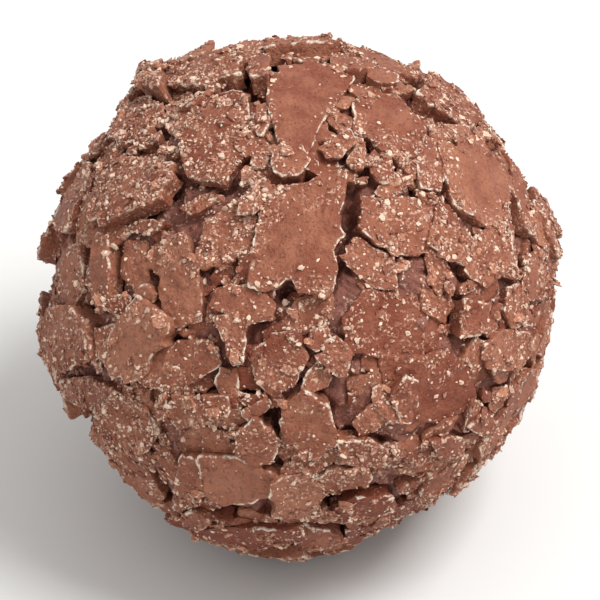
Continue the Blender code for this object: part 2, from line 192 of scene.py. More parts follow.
SMALLER_SHARDS = (
    # Round the shield, from left to right
    Shard(-8.7, 12.9, 3.4, 2.0, 125, 0.30, 1.30, 120, 4, True),
    Shard(-5.4, 13.2, 4.2, 2.4, 8, 0.10, 0.80, 100),
    Shard(-2.3, 13.2, 1.9, 1.5, 90, 0.00, 0.90, 270, 4),
    Shard(-2.2, 10.2, 2.1, 1.1, 85, 0.20, 0.60, 0, 5),
    Shard(0.0, 14.7, 4.2, 1.0, 2, 0.10, 0.95, 270),
    Shard(3.0, 13.6, 2.4, 1.2, -5, 0.10, 0.85, 270),
    Shard(4.6, 14.0, 4.6, 1.6, -24, 0.20, 0.45, 70),
    Shard(4.8, 12.7, 1.8, 1.1, -8, 0.10, 0.75, 90, 5),
    Shard(8.6, 11.6, 4.0, 2.6, -38, 0.20, 0.80, 60, 7),
    Shard(9.2, 9.7, 3.2, 1.1, -6, 0.10, 0.85, 270),
    # Between the shield and the plate in the middle
    Shard(-0.6, 7.9, 2.0, 2.0, 20, 0.10, 1.30, 270, 7),
    Shard(-2.3, 7.8, 1.1, 1.0, 60, 0.10, 0.90, 270, 5),
    Shard(2.1, 8.7, 1.9, 1.4, 25, 0.10, 0.95, 120),
    Shard(3.3, 8.2, 1.7, 1.2, 70, 0.50, 0.90, 0, 4),
    Shard(4.6, 7.4, 1.6, 1.4, 80, 0.10, 0.75, 100, 7),
    Shard(5.9, 7.1, 1.7, 1.2, 85, 0.10, 0.35, 0, 5),
    Shard(7.5, 7.6, 3.0, 2.1, 80, 0.10, 0.60, 180),
    Shard(-2.6, 5.7, 2.6, 1.2, 50, 0.10, 0.95, 140, 5),
    Shard(-4.1, 3.5, 4.2, 2.7, 55, 0.10, 0.40, 140),
    # The right side
    Shard(4.1, 1.9, 3.6, 2.5, -38, 0.30, 0.50, 60, 5, True),
    Shard(10.8, 2.6, 3.2, 3.0, 60, 0.20, 0.60, 0),
    Shard(12.8, 5.8, 3.8, 0.9, -80, 0.20, 0.45, 0, 5),
    Shard(14.6, 3.9, 3.0, 1.3, -72, 0.20, 0.75, 0),
    Shard(13.6, 1.4, 3.0, 1.7, 88, 0.10, 0.40, 0),
    Shard(9.9, -1.0, 2.3, 1.7, 86, 0.00, 0.85, 180, 4),
    Shard(12.3, -0.3, 2.3, 1.7, 100, 0.20, 0.75, 0),
    Shard(12.0, -2.9, 2.7, 2.5, 15, 0.20, 0.75, 290),
    Shard(14.6, -1.6, 3.4, 1.0, 88, 0.20, 0.40, 0),
    Shard(13.0, -5.2, 2.6, 1.5, 65, 0.20, 0.50, 0),
    Shard(10.6, -7.2, 1.8, 1.3, 15, 0.10, 0.70, 240, 5),
    Shard(8.6, -8.4, 2.1, 1.5, -15, 0.10, 0.70, 200, 5),
    Shard(8.4, -10.4, 3.4, 1.7, 50, 0.10, 0.50, 300),
    Shard(5.4, -1.5, 5.6, 3.8, -10, 0.20, 0.20, 200, 7, tone=-0.5),
    Shard(7.4, -5.0, 5.4, 4.0, 5, 0.10, 0.25, 60, 7, tone=-0.4),
    Shard(5.9, -5.4, 2.2, 1.7, 70, 0.30, 0.75, 100, 5),
    # Under the plate in the middle
    Shard(-3.2, -0.2, 3.5, 2.2, -12, 0.15, 0.75, 260),
    Shard(-3.7, -2.3, 3.0, 2.8, -85, 0.80, 0.95, 270, 4),
    Shard(0.4, -0.9, 2.4, 2.1, 30, 0.10, 0.30, 90),
    Shard(-1.2, -3.5, 3.2, 3.0, 30, 0.10, 0.45, 330, 7),
    Shard(2.1, -3.2, 2.4, 2.2, 115, 0.55, 0.65, 350, 5),
    Shard(-4.1, -4.7, 1.9, 1.4, -70, 0.20, 0.50, 180, 5),
    Shard(-2.4, -6.2, 1.8, 0.9, 30, 0.10, 0.75, 90, 4),
    Shard(0.4, -7.2, 3.6, 3.1, -50, 0.10, 0.85, 45, 6),
    Shard(-2.4, -8.2, 2.6, 2.3, 80, 0.10, 0.85, 180, 7),
    Shard(3.6, -8.7, 2.7, 1.8, -10, 0.20, 0.75, 130),
    Shard(2.4, -10.2, 3.1, 1.6, 6, 0.20, 0.70, 90, 5),
    Shard(-0.2, -9.8, 1.9, 1.1, -5, 0.10, 0.70, 90, 5),
    # The three shards at the bottom edge here have tone -1.3: painted shade, darker because the underside gets less
    # light
    Shard(3.6, -12.1, 3.8, 1.5, 12, 0.10, 0.60, 290, tone=-1.3),
    Shard(3.4, -13.8, 2.4, 1.2, 10, 0.10, 0.60, 270, 5, tone=-1.3),
    Shard(6.3, -12.5, 3.2, 1.1, 28, 0.10, 0.40, 300, tone=-1.3),
    # The left side
    Shard(-11.8, 8.8, 2.0, 1.1, 30, 0.10, 0.65, 120, 5),
    Shard(-9.5, 10.4, 3.2, 2.2, 42, 0.20, 0.85, 150),
    Shard(-13.0, 5.9, 4.2, 1.5, 70, 0.10, 0.50, 180),
    Shard(-14.4, 2.2, 4.4, 0.9, 86, 0.10, 0.30, 180),
    Shard(-13.0, 1.3, 3.6, 1.8, 88, 0.10, 0.45, 180, 5),
    Shard(-11.4, 1.5, 4.2, 1.2, 88, 0.10, 0.70, 0),
    Shard(-9.3, 1.8, 3.4, 1.9, 95, 0.20, 0.20, 180, 5),
    Shard(-6.9, 1.0, 4.8, 2.9, 98, 0.20, 0.40, 20, tone=0.5),
    Shard(-7.0, -3.7, 4.6, 2.9, 15, 0.10, 0.45, 270, tone=-0.2),
    Shard(-13.7, -2.3, 3.6, 3.0, 100, 0.10, 1.00, 180, 7),
    Shard(-12.4, -5.3, 3.4, 1.8, -10, 0.10, 0.35, 220),
    Shard(-5.9, -6.2, 3.8, 2.0, 5, 0.10, 0.80, 0, 5),
    Shard(-10.0, -7.2, 3.8, 3.2, -30, 0.10, 0.50, 220, 7),
    Shard(-5.3, -8.1, 2.9, 1.8, -5, 0.10, 0.25, 90, 5, tone=0.7),
    Shard(-6.3, -10.4, 3.0, 1.7, -85, 0.20, 0.70, 300),
    Shard(-6.0, -12.6, 1.6, 1.1, -10, 0.10, 0.85, 300, 7),
    Shard(-9.6, -10.2, 4.6, 1.8, -50, 0.10, 0.45, 220),
    # tone -1.3 here is painted shade: the bottom edge made darker because it gets less light
    Shard(-3.0, -13.5, 6.0, 1.3, 2, 0.10, 0.60, 270, tone=-1.3),
)


def outline_reach(angles: np.ndarray, corners: np.ndarray) -> np.ndarray:
    """How far a many-cornered outline lies from its middle: where each ray crosses the side in its way.

    Args:
        angles: directions from the middle, in radians.
        corners: one corner in each row, with the middle at the origin.

    Returns:
        The distance to the outline along each angle.
    """
    bearings = np.arctan2(corners[:, 1], corners[:, 0])
    order = np.argsort(bearings)
    after = np.searchsorted(bearings[order], np.angle(np.exp(1j * angles))) % len(corners)
    start, end = corners[order][after - 1], corners[order][after]
    side = end - start
    ray = np.stack([np.cos(angles), np.sin(angles)], axis=-1)
    return cross(start, end) / cross(ray, side)


def cross(first: np.ndarray, second: np.ndarray) -> np.ndarray:
    """The cross product of rows of flat vectors, as one number each."""
    return first[..., 0] * second[..., 1] - first[..., 1] * second[..., 0]


@dataclass(frozen=True)
class Plate:
    """A shard's flat top: its middle, the way it faces, its corners and its looks, in millimetres."""

    middle: np.ndarray
    normal: np.ndarray
    corners: np.ndarray
    lift: float
    tone: float
    tone_spread: float = 0.45

    def reach(self) -> float:
        """The distance from the middle to the furthest corner."""
        return float(np.linalg.norm(self.corners - self.middle, axis=1).max())

    def axes(self) -> np.ndarray:
        """The plate's long, short and outward directions, in rows, from the spread of its corners."""
        along = np.linalg.svd(self.corners - self.middle, full_matrices=False)[2][0]
        return np.array([along, np.cross(self.normal, along), self.normal])

    def gap_to(self, points: np.ndarray) -> np.ndarray:
        """How far points lie from the outline, seen along the plate's normal: less than nothing is inside it.

        Args:
            points: one place in each row.

        Returns:
            The distance to the nearest side, below 0 where the point is within the outline.
        """
        axes = self.axes()[:2].T
        flat = (points - self.middle) @ axes
        starts = (self.corners - self.middle) @ axes
        sides = np.roll(starts, -1, axis=0) - starts
        away = flat[:, None] - starts
        share = np.clip((away * sides).sum(axis=2) / (sides**2).sum(axis=1), 0, 1)
        apart = np.linalg.norm(away - share[..., None] * sides, axis=2).min(axis=1)
        inside = np.linalg.norm(flat, axis=1) < outline_reach(np.arctan2(flat[:, 1], flat[:, 0]), starts)
        return np.where(inside, -apart, apart)


def unit(vectors: np.ndarray) -> np.ndarray:
    """The vector, or each row of vectors, at length 1."""
    vectors = np.asarray(vectors, float)
    return vectors / np.linalg.norm(vectors, axis=-1, keepdims=True)


def show_axes() -> tuple[np.ndarray, np.ndarray, np.ndarray]:
    """The show face's right, up and outward directions."""
    sine, cosine = math.sin(SHOW_ELEVATION), math.cos(SHOW_ELEVATION)
    return np.array([1.0, 0.0, 0.0]), np.array([0.0, sine, cosine]), np.array([0.0, -cosine, sine])


def bearing(degrees: float) -> np.ndarray:
    """The direction at a bearing on the show face, seen from in front of it."""
    right, up, _ = show_axes()
    angle = math.radians(degrees)
    return math.cos(angle) * right + math.sin(angle) * up


def tangents(out: np.ndarray) -> tuple[np.ndarray, np.ndarray]:
    """Two unit vectors square to out and to each other."""
    helper = np.array([0.0, 0.0, 1.0]) if abs(out[2]) < 0.9 else np.array([1.0, 0.0, 0.0])
    first = unit(np.cross(helper, out))
    return first, np.cross(out, first)


@dataclass(frozen=True)
class Layout:
    """Where every shard lies: the same rules, sizes and random draws as in the solid's own source."""

    placed_lean: float = math.radians(5)
    scatter_lean: float = math.radians(5)
    least_facing: float = 0.42
    least_depth: float = 0.02
    boxiness: float = 3.2
    placed_jitter: float = 0.14
    scatter_corner_jitter: float = 0.28
    corner_radius: tuple[float, float] = (0.88, 1.06)
    scattered: int = 230
    scatter_shift: float = 0.33
    scatter_length: tuple[float, float] = (2.4, 6.4)
    length_spread: tuple[float, float] = (1.8, 2.2)
    scatter_aspect: tuple[float, float] = (0.6, 0.98)
    scatter_taper: tuple[float, float] = (0.0, 0.6)
    scatter_lift: tuple[float, float] = (0.15, 0.85)
    scatter_corners: tuple[int, int] = (5, 7)
    clearance: float = 0.62
    seed: int = 7

    def swell(self, out: np.ndarray) -> np.ndarray:
        """The ball's unevenness at unit directions: soft waves all over, and the rim's hills and hollows.

        Args:
            out: one unit direction, or one in each row.

        Returns:
            The height over the round ball, in millimetres.
        """
        height = np.zeros(out.shape[:-1])
        turn = np.arctan2(out[..., 1], out[..., 0])
        for lobes, size, phase in WAVES:
            height += size * np.sin(lobes * turn + phase) * np.cos(lobes * np.arcsin(out[..., 2]) + 2 * phase)
        for angle, spread, rise in RIM_SWELLS:
            apart = np.degrees(np.arccos(np.clip(out @ bearing(angle), -1.0, 1.0)))
            height += rise * np.exp(-0.5 * (apart / spread) ** 2)
        return height

    def broken_outline(
        self, rng: np.random.Generator, size: tuple[float, float], taper: float, corners: int, jitter: float, start: float
    ) -> np.ndarray:
        """The corners of a shard, anticlockwise: a boxy oval with few, uneven corners, and a narrower end.

        Args:
            rng: where the draws come from.
            size: the length and the width.
            taper: how much the far end narrows.
            corners: how many corners it has.
            jitter: how unevenly they are spaced, as a share of a step.
            start: where the first one is, in steps from the far end.

        Returns:
            One corner in each row, along and across the shard.
        """
        steps = np.arange(corners) + start + rng.uniform(-jitter, jitter, corners)
        angles = 2 * math.pi * steps / corners
        cosine, sine = np.cos(angles), np.sin(angles)
        boxy = (np.abs(cosine) ** self.boxiness + np.abs(sine) ** self.boxiness) ** (-1 / self.boxiness)
        radius = boxy * rng.uniform(*self.corner_radius, corners)
        along, across = radius * cosine, radius * sine
        narrowing = 1 - taper * (1 + along) / 2
        return np.column_stack([along * size[0] / 2, across * narrowing * size[1] / 2])

    def placed_plate(self, middle: np.ndarray, outline: np.ndarray, shard: MainShard | Shard) -> Plate:
        """A shard of the show face, carried back from the face to the ball along the line of sight.

        Args:
            middle: its place on the face, right and up.
            outline: its corners from there.
            shard: the row that gives its lift, lean and tone.

        Returns:
            The plate on the ball.
        """
        right, up, outward = show_axes()
        seen = middle / (COAT_RADIUS + shard.lift)
        facing = math.sqrt(max(1 - seen @ seen, self.least_depth))
        out = unit(seen[0] * right + seen[1] * up + facing * outward)
        proud = bearing(shard.raised)
        proud = unit(proud - out * (proud @ out))
        normal = unit(out - math.tan(self.placed_lean) * proud)
        carried = []
        for axis in (right, up):
            slid = axis - outward * (axis @ normal) / max(outward @ normal, self.least_facing)
            carried.append(slid - normal * (slid @ normal))
        centre = out * (COAT_RADIUS + self.swell(out) + shard.lift)
        return Plate(centre, normal, centre + outline @ np.array(carried), shard.lift, shard.tone, 0.15)

    def main_plate(self, shard: MainShard) -> Plate:
        """A broad shard of the show face."""
        corners = np.array(shard.corners[::-1])
        middle = corners.mean(axis=0)
        return self.placed_plate(middle, corners - middle, shard)

    def smaller_plate(self, rng: np.random.Generator, shard: Shard) -> Plate:
        """A smaller shard of the show face."""
        start = 0.0 if shard.tip else 0.5
        size = (shard.length, shard.width)
        outline = self.broken_outline(rng, size, shard.taper, shard.corners, self.placed_jitter, start)
        turn = math.radians(shard.turn)
        turned = np.array([[math.cos(turn), math.sin(turn)], [-math.sin(turn), math.cos(turn)]])
        return self.placed_plate(np.array([shard.right, shard.up]), outline @ turned, shard)

    def scattered_plate(self, rng: np.random.Generator, index: int) -> Plate:
        """A shard of the rest of the ball: one point of a golden spiral, moved and turned at random."""
        height = 1 - (2 * index + 1) / self.scattered
        golden = math.pi * (3 - math.sqrt(5)) * index
        ring = math.sqrt(1 - height**2)
        out = np.array([ring * math.cos(golden), ring * math.sin(golden), height])
        first, second = tangents(out)
        moved = rng.normal(0.0, self.scatter_shift * math.sqrt(4 * math.pi / self.scattered), 2)
        out = unit(out + moved[0] * first + moved[1] * second)
        first, second = tangents(out)
        lean = np.tan(rng.normal(0.0, self.scatter_lean, 2))
        normal = unit(out + lean[0] * first + lean[1] * second)
        shortest, longest = self.scatter_length
        length = shortest + (longest - shortest) * rng.beta(*self.length_spread)
        width = length * rng.uniform(*self.scatter_aspect)
        taper = rng.uniform(*self.scatter_taper)
        corners = int(rng.integers(self.scatter_corners[0], self.scatter_corners[1] + 1))
        start = rng.uniform(0.0, 1.0)
        outline = self.broken_outline(rng, (length, width), taper, corners, self.scatter_corner_jitter, start)
        first, second = tangents(normal)
        turn = rng.uniform(0.0, 2 * math.pi)
        along = math.cos(turn) * first + math.sin(turn) * second
        lift = rng.uniform(*self.scatter_lift)
        middle = out * (COAT_RADIUS + self.swell(out) + lift)
        across = np.cross(normal, along)
        return Plate(middle, normal, middle + outline @ np.array([along, across]), lift, 0.0)

    def plates(self) -> list[Plate]:
        """The placed shards, then the scattered ones that lie clear enough of them."""
        rng = np.random.default_rng(self.seed)
        placed = [self.main_plate(shard) for shard in MAIN_SHARDS]
        placed += [self.smaller_plate(rng, shard) for shard in SMALLER_SHARDS]
        middles = np.array([plate.middle for plate in placed])
        reaches = np.array([plate.reach() for plate in placed])
        plates = list(placed)
        for index in range(self.scattered):
            plate = self.scattered_plate(rng, index)
            apart = np.linalg.norm(middles - plate.middle, axis=1)
            if (apart > self.clearance * (reaches + plate.reach())).all():
                plates.append(plate)
        return plates


def nearest_gap(points: np.ndarray, plates: list[Plate], search: float) -> tuple[np.ndarray, np.ndarray]:
    """How far points of the ball lie outside the nearest plate, up to the search distance.

    Args:
        points: one place in each row.
        plates: the plates.
        search: the distance past which it makes no difference.

    Returns:
        The smallest gap for each point, below 0 under a plate, and the lift of the plate that it is to.
    """
    gaps = np.full(len(points), search)
    lifts = np.zeros(len(points))
    for plate in plates:
        near = np.flatnonzero(np.linalg.norm(points - plate.middle, axis=1) < plate.reach() + search)
        gap = plate.gap_to(points[near])
        closer = gap < gaps[near]
        gaps[near[closer]] = gap[closer]
        lifts[near[closer]] = plate.lift
    return gaps, lifts


@dataclass(frozen=True)
class Opening:
    """A place on the show face where no flake lies over the coat, as seen from in front of it, in millimetres.

    right and up are its middle. length runs along turn, in degrees from right. A deep one is a dark gap that
    flakes left between them, and a shallow one is bare coat.
    """

    right: float
    up: float
    length: float
    width: float
    turn: float
    depth: float

    def share(self, points: np.ndarray) -> np.ndarray:
        """How far points of the ball lie in it: 1 in its middle, about a third on its edge and 0 outside."""
        right, up, outward = show_axes()
        seen = np.stack([points @ right - self.right, points @ up - self.up], axis=-1)
        angle = math.radians(self.turn)
        along = seen @ np.array([math.cos(angle), math.sin(angle)]) / (self.length / 2)
        across = seen @ np.array([-math.sin(angle), math.cos(angle)]) / (self.width / 2)
        return np.exp(-(along**4) - across**4) * (points @ outward > 0)


OPENINGS = (
    # Dark gaps at the top
    Opening(-3.1, 13.2, 2.4, 0.35, 90, 0.7),
    Opening(-1.5, 13.6, 2.0, 0.35, 85, 0.7),
    Opening(6.5, 12.6, 1.2, 0.5, -30, 0.7),
    Opening(-2.4, 11.9, 1.5, 0.7, 95, 0.9),
    Opening(-7.6, 11.5, 0.9, 0.4, 60, 0.6),
    Opening(-6.0, 10.5, 1.0, 0.5, 70, 0.7),
    Opening(7.1, 11.2, 1.6, 0.5, -50, 0.5),
    Opening(-7.8, 9.2, 2.0, 0.6, 55, 0.7),
    Opening(2.0, 9.6, 1.4, 0.45, -10, 0.6),
    Opening(3.9, 8.8, 1.4, 0.6, -45, 0.8),
    Opening(-1.6, 9.0, 1.2, 0.4, -60, 0.6),
    Opening(-2.9, 8.2, 0.9, 0.35, 80, 0.6),
    Opening(-0.7, 6.9, 1.9, 0.5, 0, 0.9),
    # Dark gaps in the middle, from left to right
    Opening(-9.5, 4.6, 2.6, 0.5, 20, 0.8),
    Opening(-7.3, 6.4, 1.4, 0.5, 60, 0.7),
    Opening(-4.3, 6.2, 1.6, 0.6, 30, 0.7),
    Opening(-10.5, 1.5, 2.2, 0.5, 85, 0.6),
    Opening(-8.3, 1.3, 3.4, 0.35, -75, 0.7),
    Opening(-4.7, 1.3, 1.2, 0.5, -50, 0.6),
    Opening(-0.8, 0.4, 1.0, 0.7, 20, 0.8),
    Opening(2.9, 5.3, 3.4, 0.7, 85, 1.0),
    Opening(2.6, 2.8, 1.8, 0.6, 60, 0.9),
    Opening(9.4, 4.7, 1.9, 0.4, -33, 0.7),
    Opening(12.35, 3.9, 3.4, 0.4, -84, 0.7),
    Opening(9.0, 1.7, 1.4, 0.45, -65, 0.7),
    Opening(9.9, 0.6, 0.9, 0.35, 15, 0.6),
    Opening(8.6, -1.0, 2.6, 0.5, 85, 0.8),
    Opening(10.6, -2.0, 2.4, 0.4, 40, 0.7),
    # Dark gaps at the bottom
    Opening(-11.8, -0.5, 1.5, 0.5, 15, 0.7),
    Opening(-7.3, -2.2, 0.8, 0.5, 60, 0.7),
    Opening(-8.5, -3.5, 2.0, 0.4, 40, 0.8),
    Opening(-10.4, -4.9, 0.9, 0.4, -30, 0.7),
    Opening(-7.6, -5.4, 3.4, 0.4, 2, 0.7),
    Opening(-2.9, -5.0, 1.3, 0.8, 100, 0.8),
    Opening(-1.6, -6.6, 1.6, 0.7, 70, 0.8),
    Opening(11.6, -6.7, 1.1, 0.8, 30, 0.8),
    Opening(7.5, -9.0, 1.6, 0.35, -65, 0.6),
    Opening(1.7, -9.3, 1.7, 0.5, 20, 0.7),
    Opening(-9.7, -9.2, 1.2, 0.45, -40, 0.7),
    Opening(-7.9, -10.7, 1.8, 0.5, -60, 0.7),
    Opening(-4.4, -12.1, 2.0, 0.45, 10, 0.7),
    Opening(1.8, -11.7, 1.7, 0.8, -40, 0.7),
    Opening(-1.3, -11.9, 1.9, 0.8, -10, 0.6),
    Opening(4.4, -12.9, 1.4, 0.35, 15, 0.6),
    # Bare coat
    Opening(-6.7, 4.4, 2.4, 1.6, 10, 0.25),
    Opening(2.4, 0.2, 3.0, 1.3, 100, 0.1),
    Opening(7.0, 1.5, 2.0, 1.2, -20, 0.1),
    Opening(-12.1, -4.2, 1.6, 0.8, 0, 0.3),
    Opening(0.5, -5.3, 1.6, 1.0, 0, 0.1),
    Opening(5.2, -10.4, 2.6, 1.0, 5, 0.3),
)


@dataclass(frozen=True)
class Underlayer:
    """Small flakes pressed into the coat, which fill what the shards of the layout leave open.

    They overlap each other, and those beside a shard lie lower than its face and run in under it.
    """

    layout: Layout
    above: list[Plate]
    tries: int = 2400
    length: tuple[float, float] = (0.9, 3.0)
    leaning_small: float = 1.5  # the power that makes most of them small
    aspect: tuple[float, float] = (0.45, 0.95)
    lift: tuple[float, float] = (0.0, 0.42)
    lean: float = math.radians(7)
    shift: float = 0.5
    tucked: float = 0.05  # how far in under a shard a flake's middle may lie
    beside: float = 1.1  # within this distance of a shard, a flake lies just below its face
    below: tuple[float, float] = (0.12, 0.42)
    highest: float = 0.5
    crowding: float = 0.42  # share of two flakes' reaches that keeps their middles apart
    clear: float = 0.75  # share of a flake that has to lie clear of every opening
    seed: int = 21

    def plates(self) -> list[Plate]:
        """Flakes at the points of a golden spiral, moved at random, wherever no shard lies over them."""
        rng = np.random.default_rng(self.seed)
        steps = np.arange(self.tries)
        height = 1 - (2 * steps + 1) / self.tries
        turn = math.pi * (3 - math.sqrt(5)) * steps
        ring = np.sqrt(1 - height**2)
        spiral = np.column_stack([ring * np.cos(turn), ring * np.sin(turn), height])
        spacing = math.sqrt(4 * math.pi / self.tries)
        outs = unit(spiral + rng.normal(0, self.shift * spacing, spiral.shape))
        gaps, lifts = nearest_gap(outs * COAT_RADIUS, self.above, self.beside)
        lengths = self.length[0] + (self.length[1] - self.length[0]) * rng.uniform(size=self.tries) ** self.leaning_small
        rises = rng.uniform(*self.lift, self.tries)
        lowered = np.clip(lifts - rng.uniform(*self.below, self.tries), self.lift[0], self.highest)
        rises = np.where(gaps < self.beside, lowered, rises)
        made: list[Plate] = []
        middles, reaches = np.empty((0, 3)), np.empty(0)
        for index in np.argsort(-lengths):
            if gaps[index] < -self.tucked:
                continue
            plate = self.plate(rng, outs[index], lengths[index], rises[index])
            reach = plate.reach()
            parts = np.vstack([plate.corners, (plate.corners + plate.middle) / 2, [plate.middle]])
            if any(opening.share(parts).mean() > 1 - self.clear for opening in OPENINGS):
                continue
            if (np.linalg.norm(middles - plate.middle, axis=1) > self.crowding * (reaches + reach)).all():
                made.append(plate)
                middles, reaches = np.vstack([middles, plate.middle]), np.append(reaches, reach)
        return made

    def plate(self, rng: np.random.Generator, out: np.ndarray, length: float, lift: float) -> Plate:
        """One flake at a unit direction, leaning a little, with its own outline and depth."""
        normal = unit(out + np.tan(self.lean) * rng.normal(size=3))
        size = (length, length * rng.uniform(*self.aspect))
        corners = int(rng.integers(4, 8))
        outline = self.layout.broken_outline(rng, size, rng.uniform(0, 0.6), corners, 0.3, rng.uniform())
        first, second = tangents(normal)
        turn = rng.uniform(0, 2 * math.pi)
        along = math.cos(turn) * first + math.sin(turn) * second
        middle = out * (COAT_RADIUS + self.layout.swell(out) + lift)
        return Plate(middle, normal, middle + outline @ np.array([along, np.cross(normal, along)]), lift, 0.0)


def ball_middle(plates: list[Plate]) -> np.ndarray:
    """The ball's middle in the frame, in metres, which centres the shards' outermost corners over the origin."""
    corners = np.vstack([plate.corners for plate in plates])
    shift = -(corners.max(axis=0) + corners.min(axis=0)) / 2
    return np.array([shift[0], shift[1], FOOT_DROP]) * MM


@dataclass(frozen=True)
class Relief:
    """Smooth random heights anywhere in space, the same on every run."""

    seed: int = 0

    def scramble(self, cells: np.ndarray, channel: int) -> np.ndarray:
        """A number from 0 to 1 for each whole-numbered cell: its three places multiplied, mixed and cut off."""
        keys = cells.astype(np.int64).astype(np.uint64)
        mixed = keys[..., 0] * np.uint64(0x9E3779B97F4A7C15)
        mixed ^= keys[..., 1] * np.uint64(0xC2B2AE3D27D4EB4F)
        mixed ^= keys[..., 2] * np.uint64(0x165667B19E3779F9)
        mixed += np.uint64(1 + self.seed * 31 + channel * 7919) * np.uint64(0x2545F4914F6CDD1D)
        mixed ^= mixed >> np.uint64(29)
        mixed *= np.uint64(0xBF58476D1CE4E5B9)
        mixed ^= mixed >> np.uint64(32)
        return (mixed & np.uint64(0xFFFFFF)).astype(float) / 0xFFFFFF

    def smooth(self, points: np.ndarray, size: float) -> np.ndarray:
        """Gradient noise: each corner of a cell gives a slope, and the slopes blend by a smooth curve.

        Args:
            points: one place in each row, in millimetres.
            size: how far apart hills are, in millimetres.

        Returns:
            Heights from about -1 to 1.
        """
        places = points / size
        low = np.floor(places)
        inside = places - low
        fade = inside**3 * (inside * (inside * 6 - 15) + 10)
        total = np.zeros(len(points))
        for corner in np.ndindex(2, 2, 2):
            step = np.array(corner)
            cells = low + step
            slopes = np.column_stack([self.scramble(cells, channel) for channel in range(3)]) * 2 - 1
            weight = np.where(step, fade, 1 - fade).prod(axis=1)
            total += weight * ((inside - step) * slopes).sum(axis=1)
        return total * 1.6

    def layered(self, points: np.ndarray, size: float, layers: int = 3) -> np.ndarray:
        """Smooth noise with finer layers on it, each half the size and half the height of the one before."""
        total = np.zeros(len(points))
        for layer in range(layers):
            total += self.smooth(points + 17.3 * layer, size / 2**layer) / 2**layer
        return total

    def fragments(self, points: np.ndarray, size: float) -> tuple[np.ndarray, np.ndarray]:
        """A ball of space broken into random cells: each point goes with the nearest of the seeds round it.

        Args:
            points: one place in each row, in millimetres.
            size: the mean size of a cell.

        Returns:
            A number from 0 to 1 for the cell that each point is in, and how far the point is from its edge.
        """
        places = points / size
        low = np.floor(places)
        nearest = np.full(len(points), np.inf)
        second = np.full(len(points), np.inf)
        number = np.zeros(len(points))
        for step in np.ndindex(3, 3, 3):
            cells = low + np.array(step) - 1
            seeds = cells + np.column_stack([self.scramble(cells, channel) for channel in range(3)])
            apart = np.linalg.norm(places - seeds, axis=1)
            closer = apart < nearest
            second = np.where(closer, nearest, np.minimum(second, apart))
            number = np.where(closer, self.scramble(cells, 3), number)
            nearest = np.minimum(nearest, apart)
        return number, (second - nearest) * size / 2


@dataclass
class Skin:
    """A mesh in the making: its points in millimetres from the ball's middle, triangles and named values."""

    points: np.ndarray
    triangles: np.ndarray
    values: dict[str, np.ndarray]

    @staticmethod
    def joined(skins: list["Skin"]) -> "Skin":
        """All the skins as one, each one's triangles counted on from the points before it."""
        starts = np.cumsum([0] + [len(skin.points) for skin in skins[:-1]])
        return Skin(
            np.vstack([skin.points for skin in skins]),
            np.vstack([skin.triangles + start for skin, start in zip(skins, starts)]),
            {name: np.concatenate([skin.values[name] for skin in skins]) for name in skins[0].values},
        )

    def in_frame(self, middle: np.ndarray) -> np.ndarray:
        """The points in metres in the frame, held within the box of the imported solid."""
        return np.clip(self.points * MM + middle, np.array(CAD_LOW), np.array(CAD_HIGH))


def quads_to_triangles(quads: np.ndarray) -> np.ndarray:
    """Two triangles for each row of four corners."""
    return np.vstack([quads[:, [0, 1, 2]], quads[:, [0, 2, 3]]])


def ring_walls(rings: np.ndarray) -> np.ndarray:
    """Triangles between closed rings of points that lie one below the other.

    Args:
        rings: point numbers, one ring in each row, the top one first, all anticlockwise as seen from above.

    Returns:
        Triangles that face away from the middle.
    """
    upper, lower = rings[:-1], rings[1:]
    after = np.roll(rings, -1, axis=1)
    quads = np.stack([lower, after[1:], after[:-1], upper], axis=-1)
    return quads_to_triangles(quads.reshape(-1, 4))


def make_piece(name: str, skin: Skin, middle: np.ndarray, material: bpy.types.Material, crease: float) -> bpy.types.Object:
    """Puts a skin into the scene as a piece of the truffle.

    Args:
        name: the piece's name.
        skin: its points, triangles and named values.
        middle: the ball's middle in the frame, in metres.
        material: its finish.
        crease: edges that turn by more than this, in degrees, stay sharp.

    Returns:
        The new object, which rides on the root and stands for the solid.
    """
    mesh = bpy.data.meshes.new(name)
    mesh.vertices.add(len(skin.points))
    mesh.vertices.foreach_set("co", skin.in_frame(middle).astype(np.float32).ravel())
    mesh.loops.add(skin.triangles.size)
    mesh.loops.foreach_set("vertex_index", skin.triangles.astype(np.int32).ravel())
    mesh.polygons.add(len(skin.triangles))
    mesh.polygons.foreach_set("loop_start", np.arange(0, skin.triangles.size, 3, dtype=np.int32))
    mesh.update(calc_edges=True)
    mesh.validate()
    for value, numbers in skin.values.items():
        attribute = mesh.attributes.new(value, "FLOAT", "POINT")
        attribute.data.foreach_set("value", numbers.astype(np.float32))
    mesh.shade_smooth()
    mesh.set_sharp_from_angle(angle=math.radians(crease))
    mesh.materials.append(material)
    made = bpy.data.objects.new(name, mesh)
    bpy.context.scene.collection.objects.link(made)
    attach(made, "root")
    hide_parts("truffle")
    logging.info("%s: %d triangles", name, len(skin.triangles))
    return made


@dataclass(frozen=True)
class Drift:
    """A place on the show face where loose bits lie thicker or thinner than elsewhere."""

    right: float
    up: float
    radius: float
    extra: float


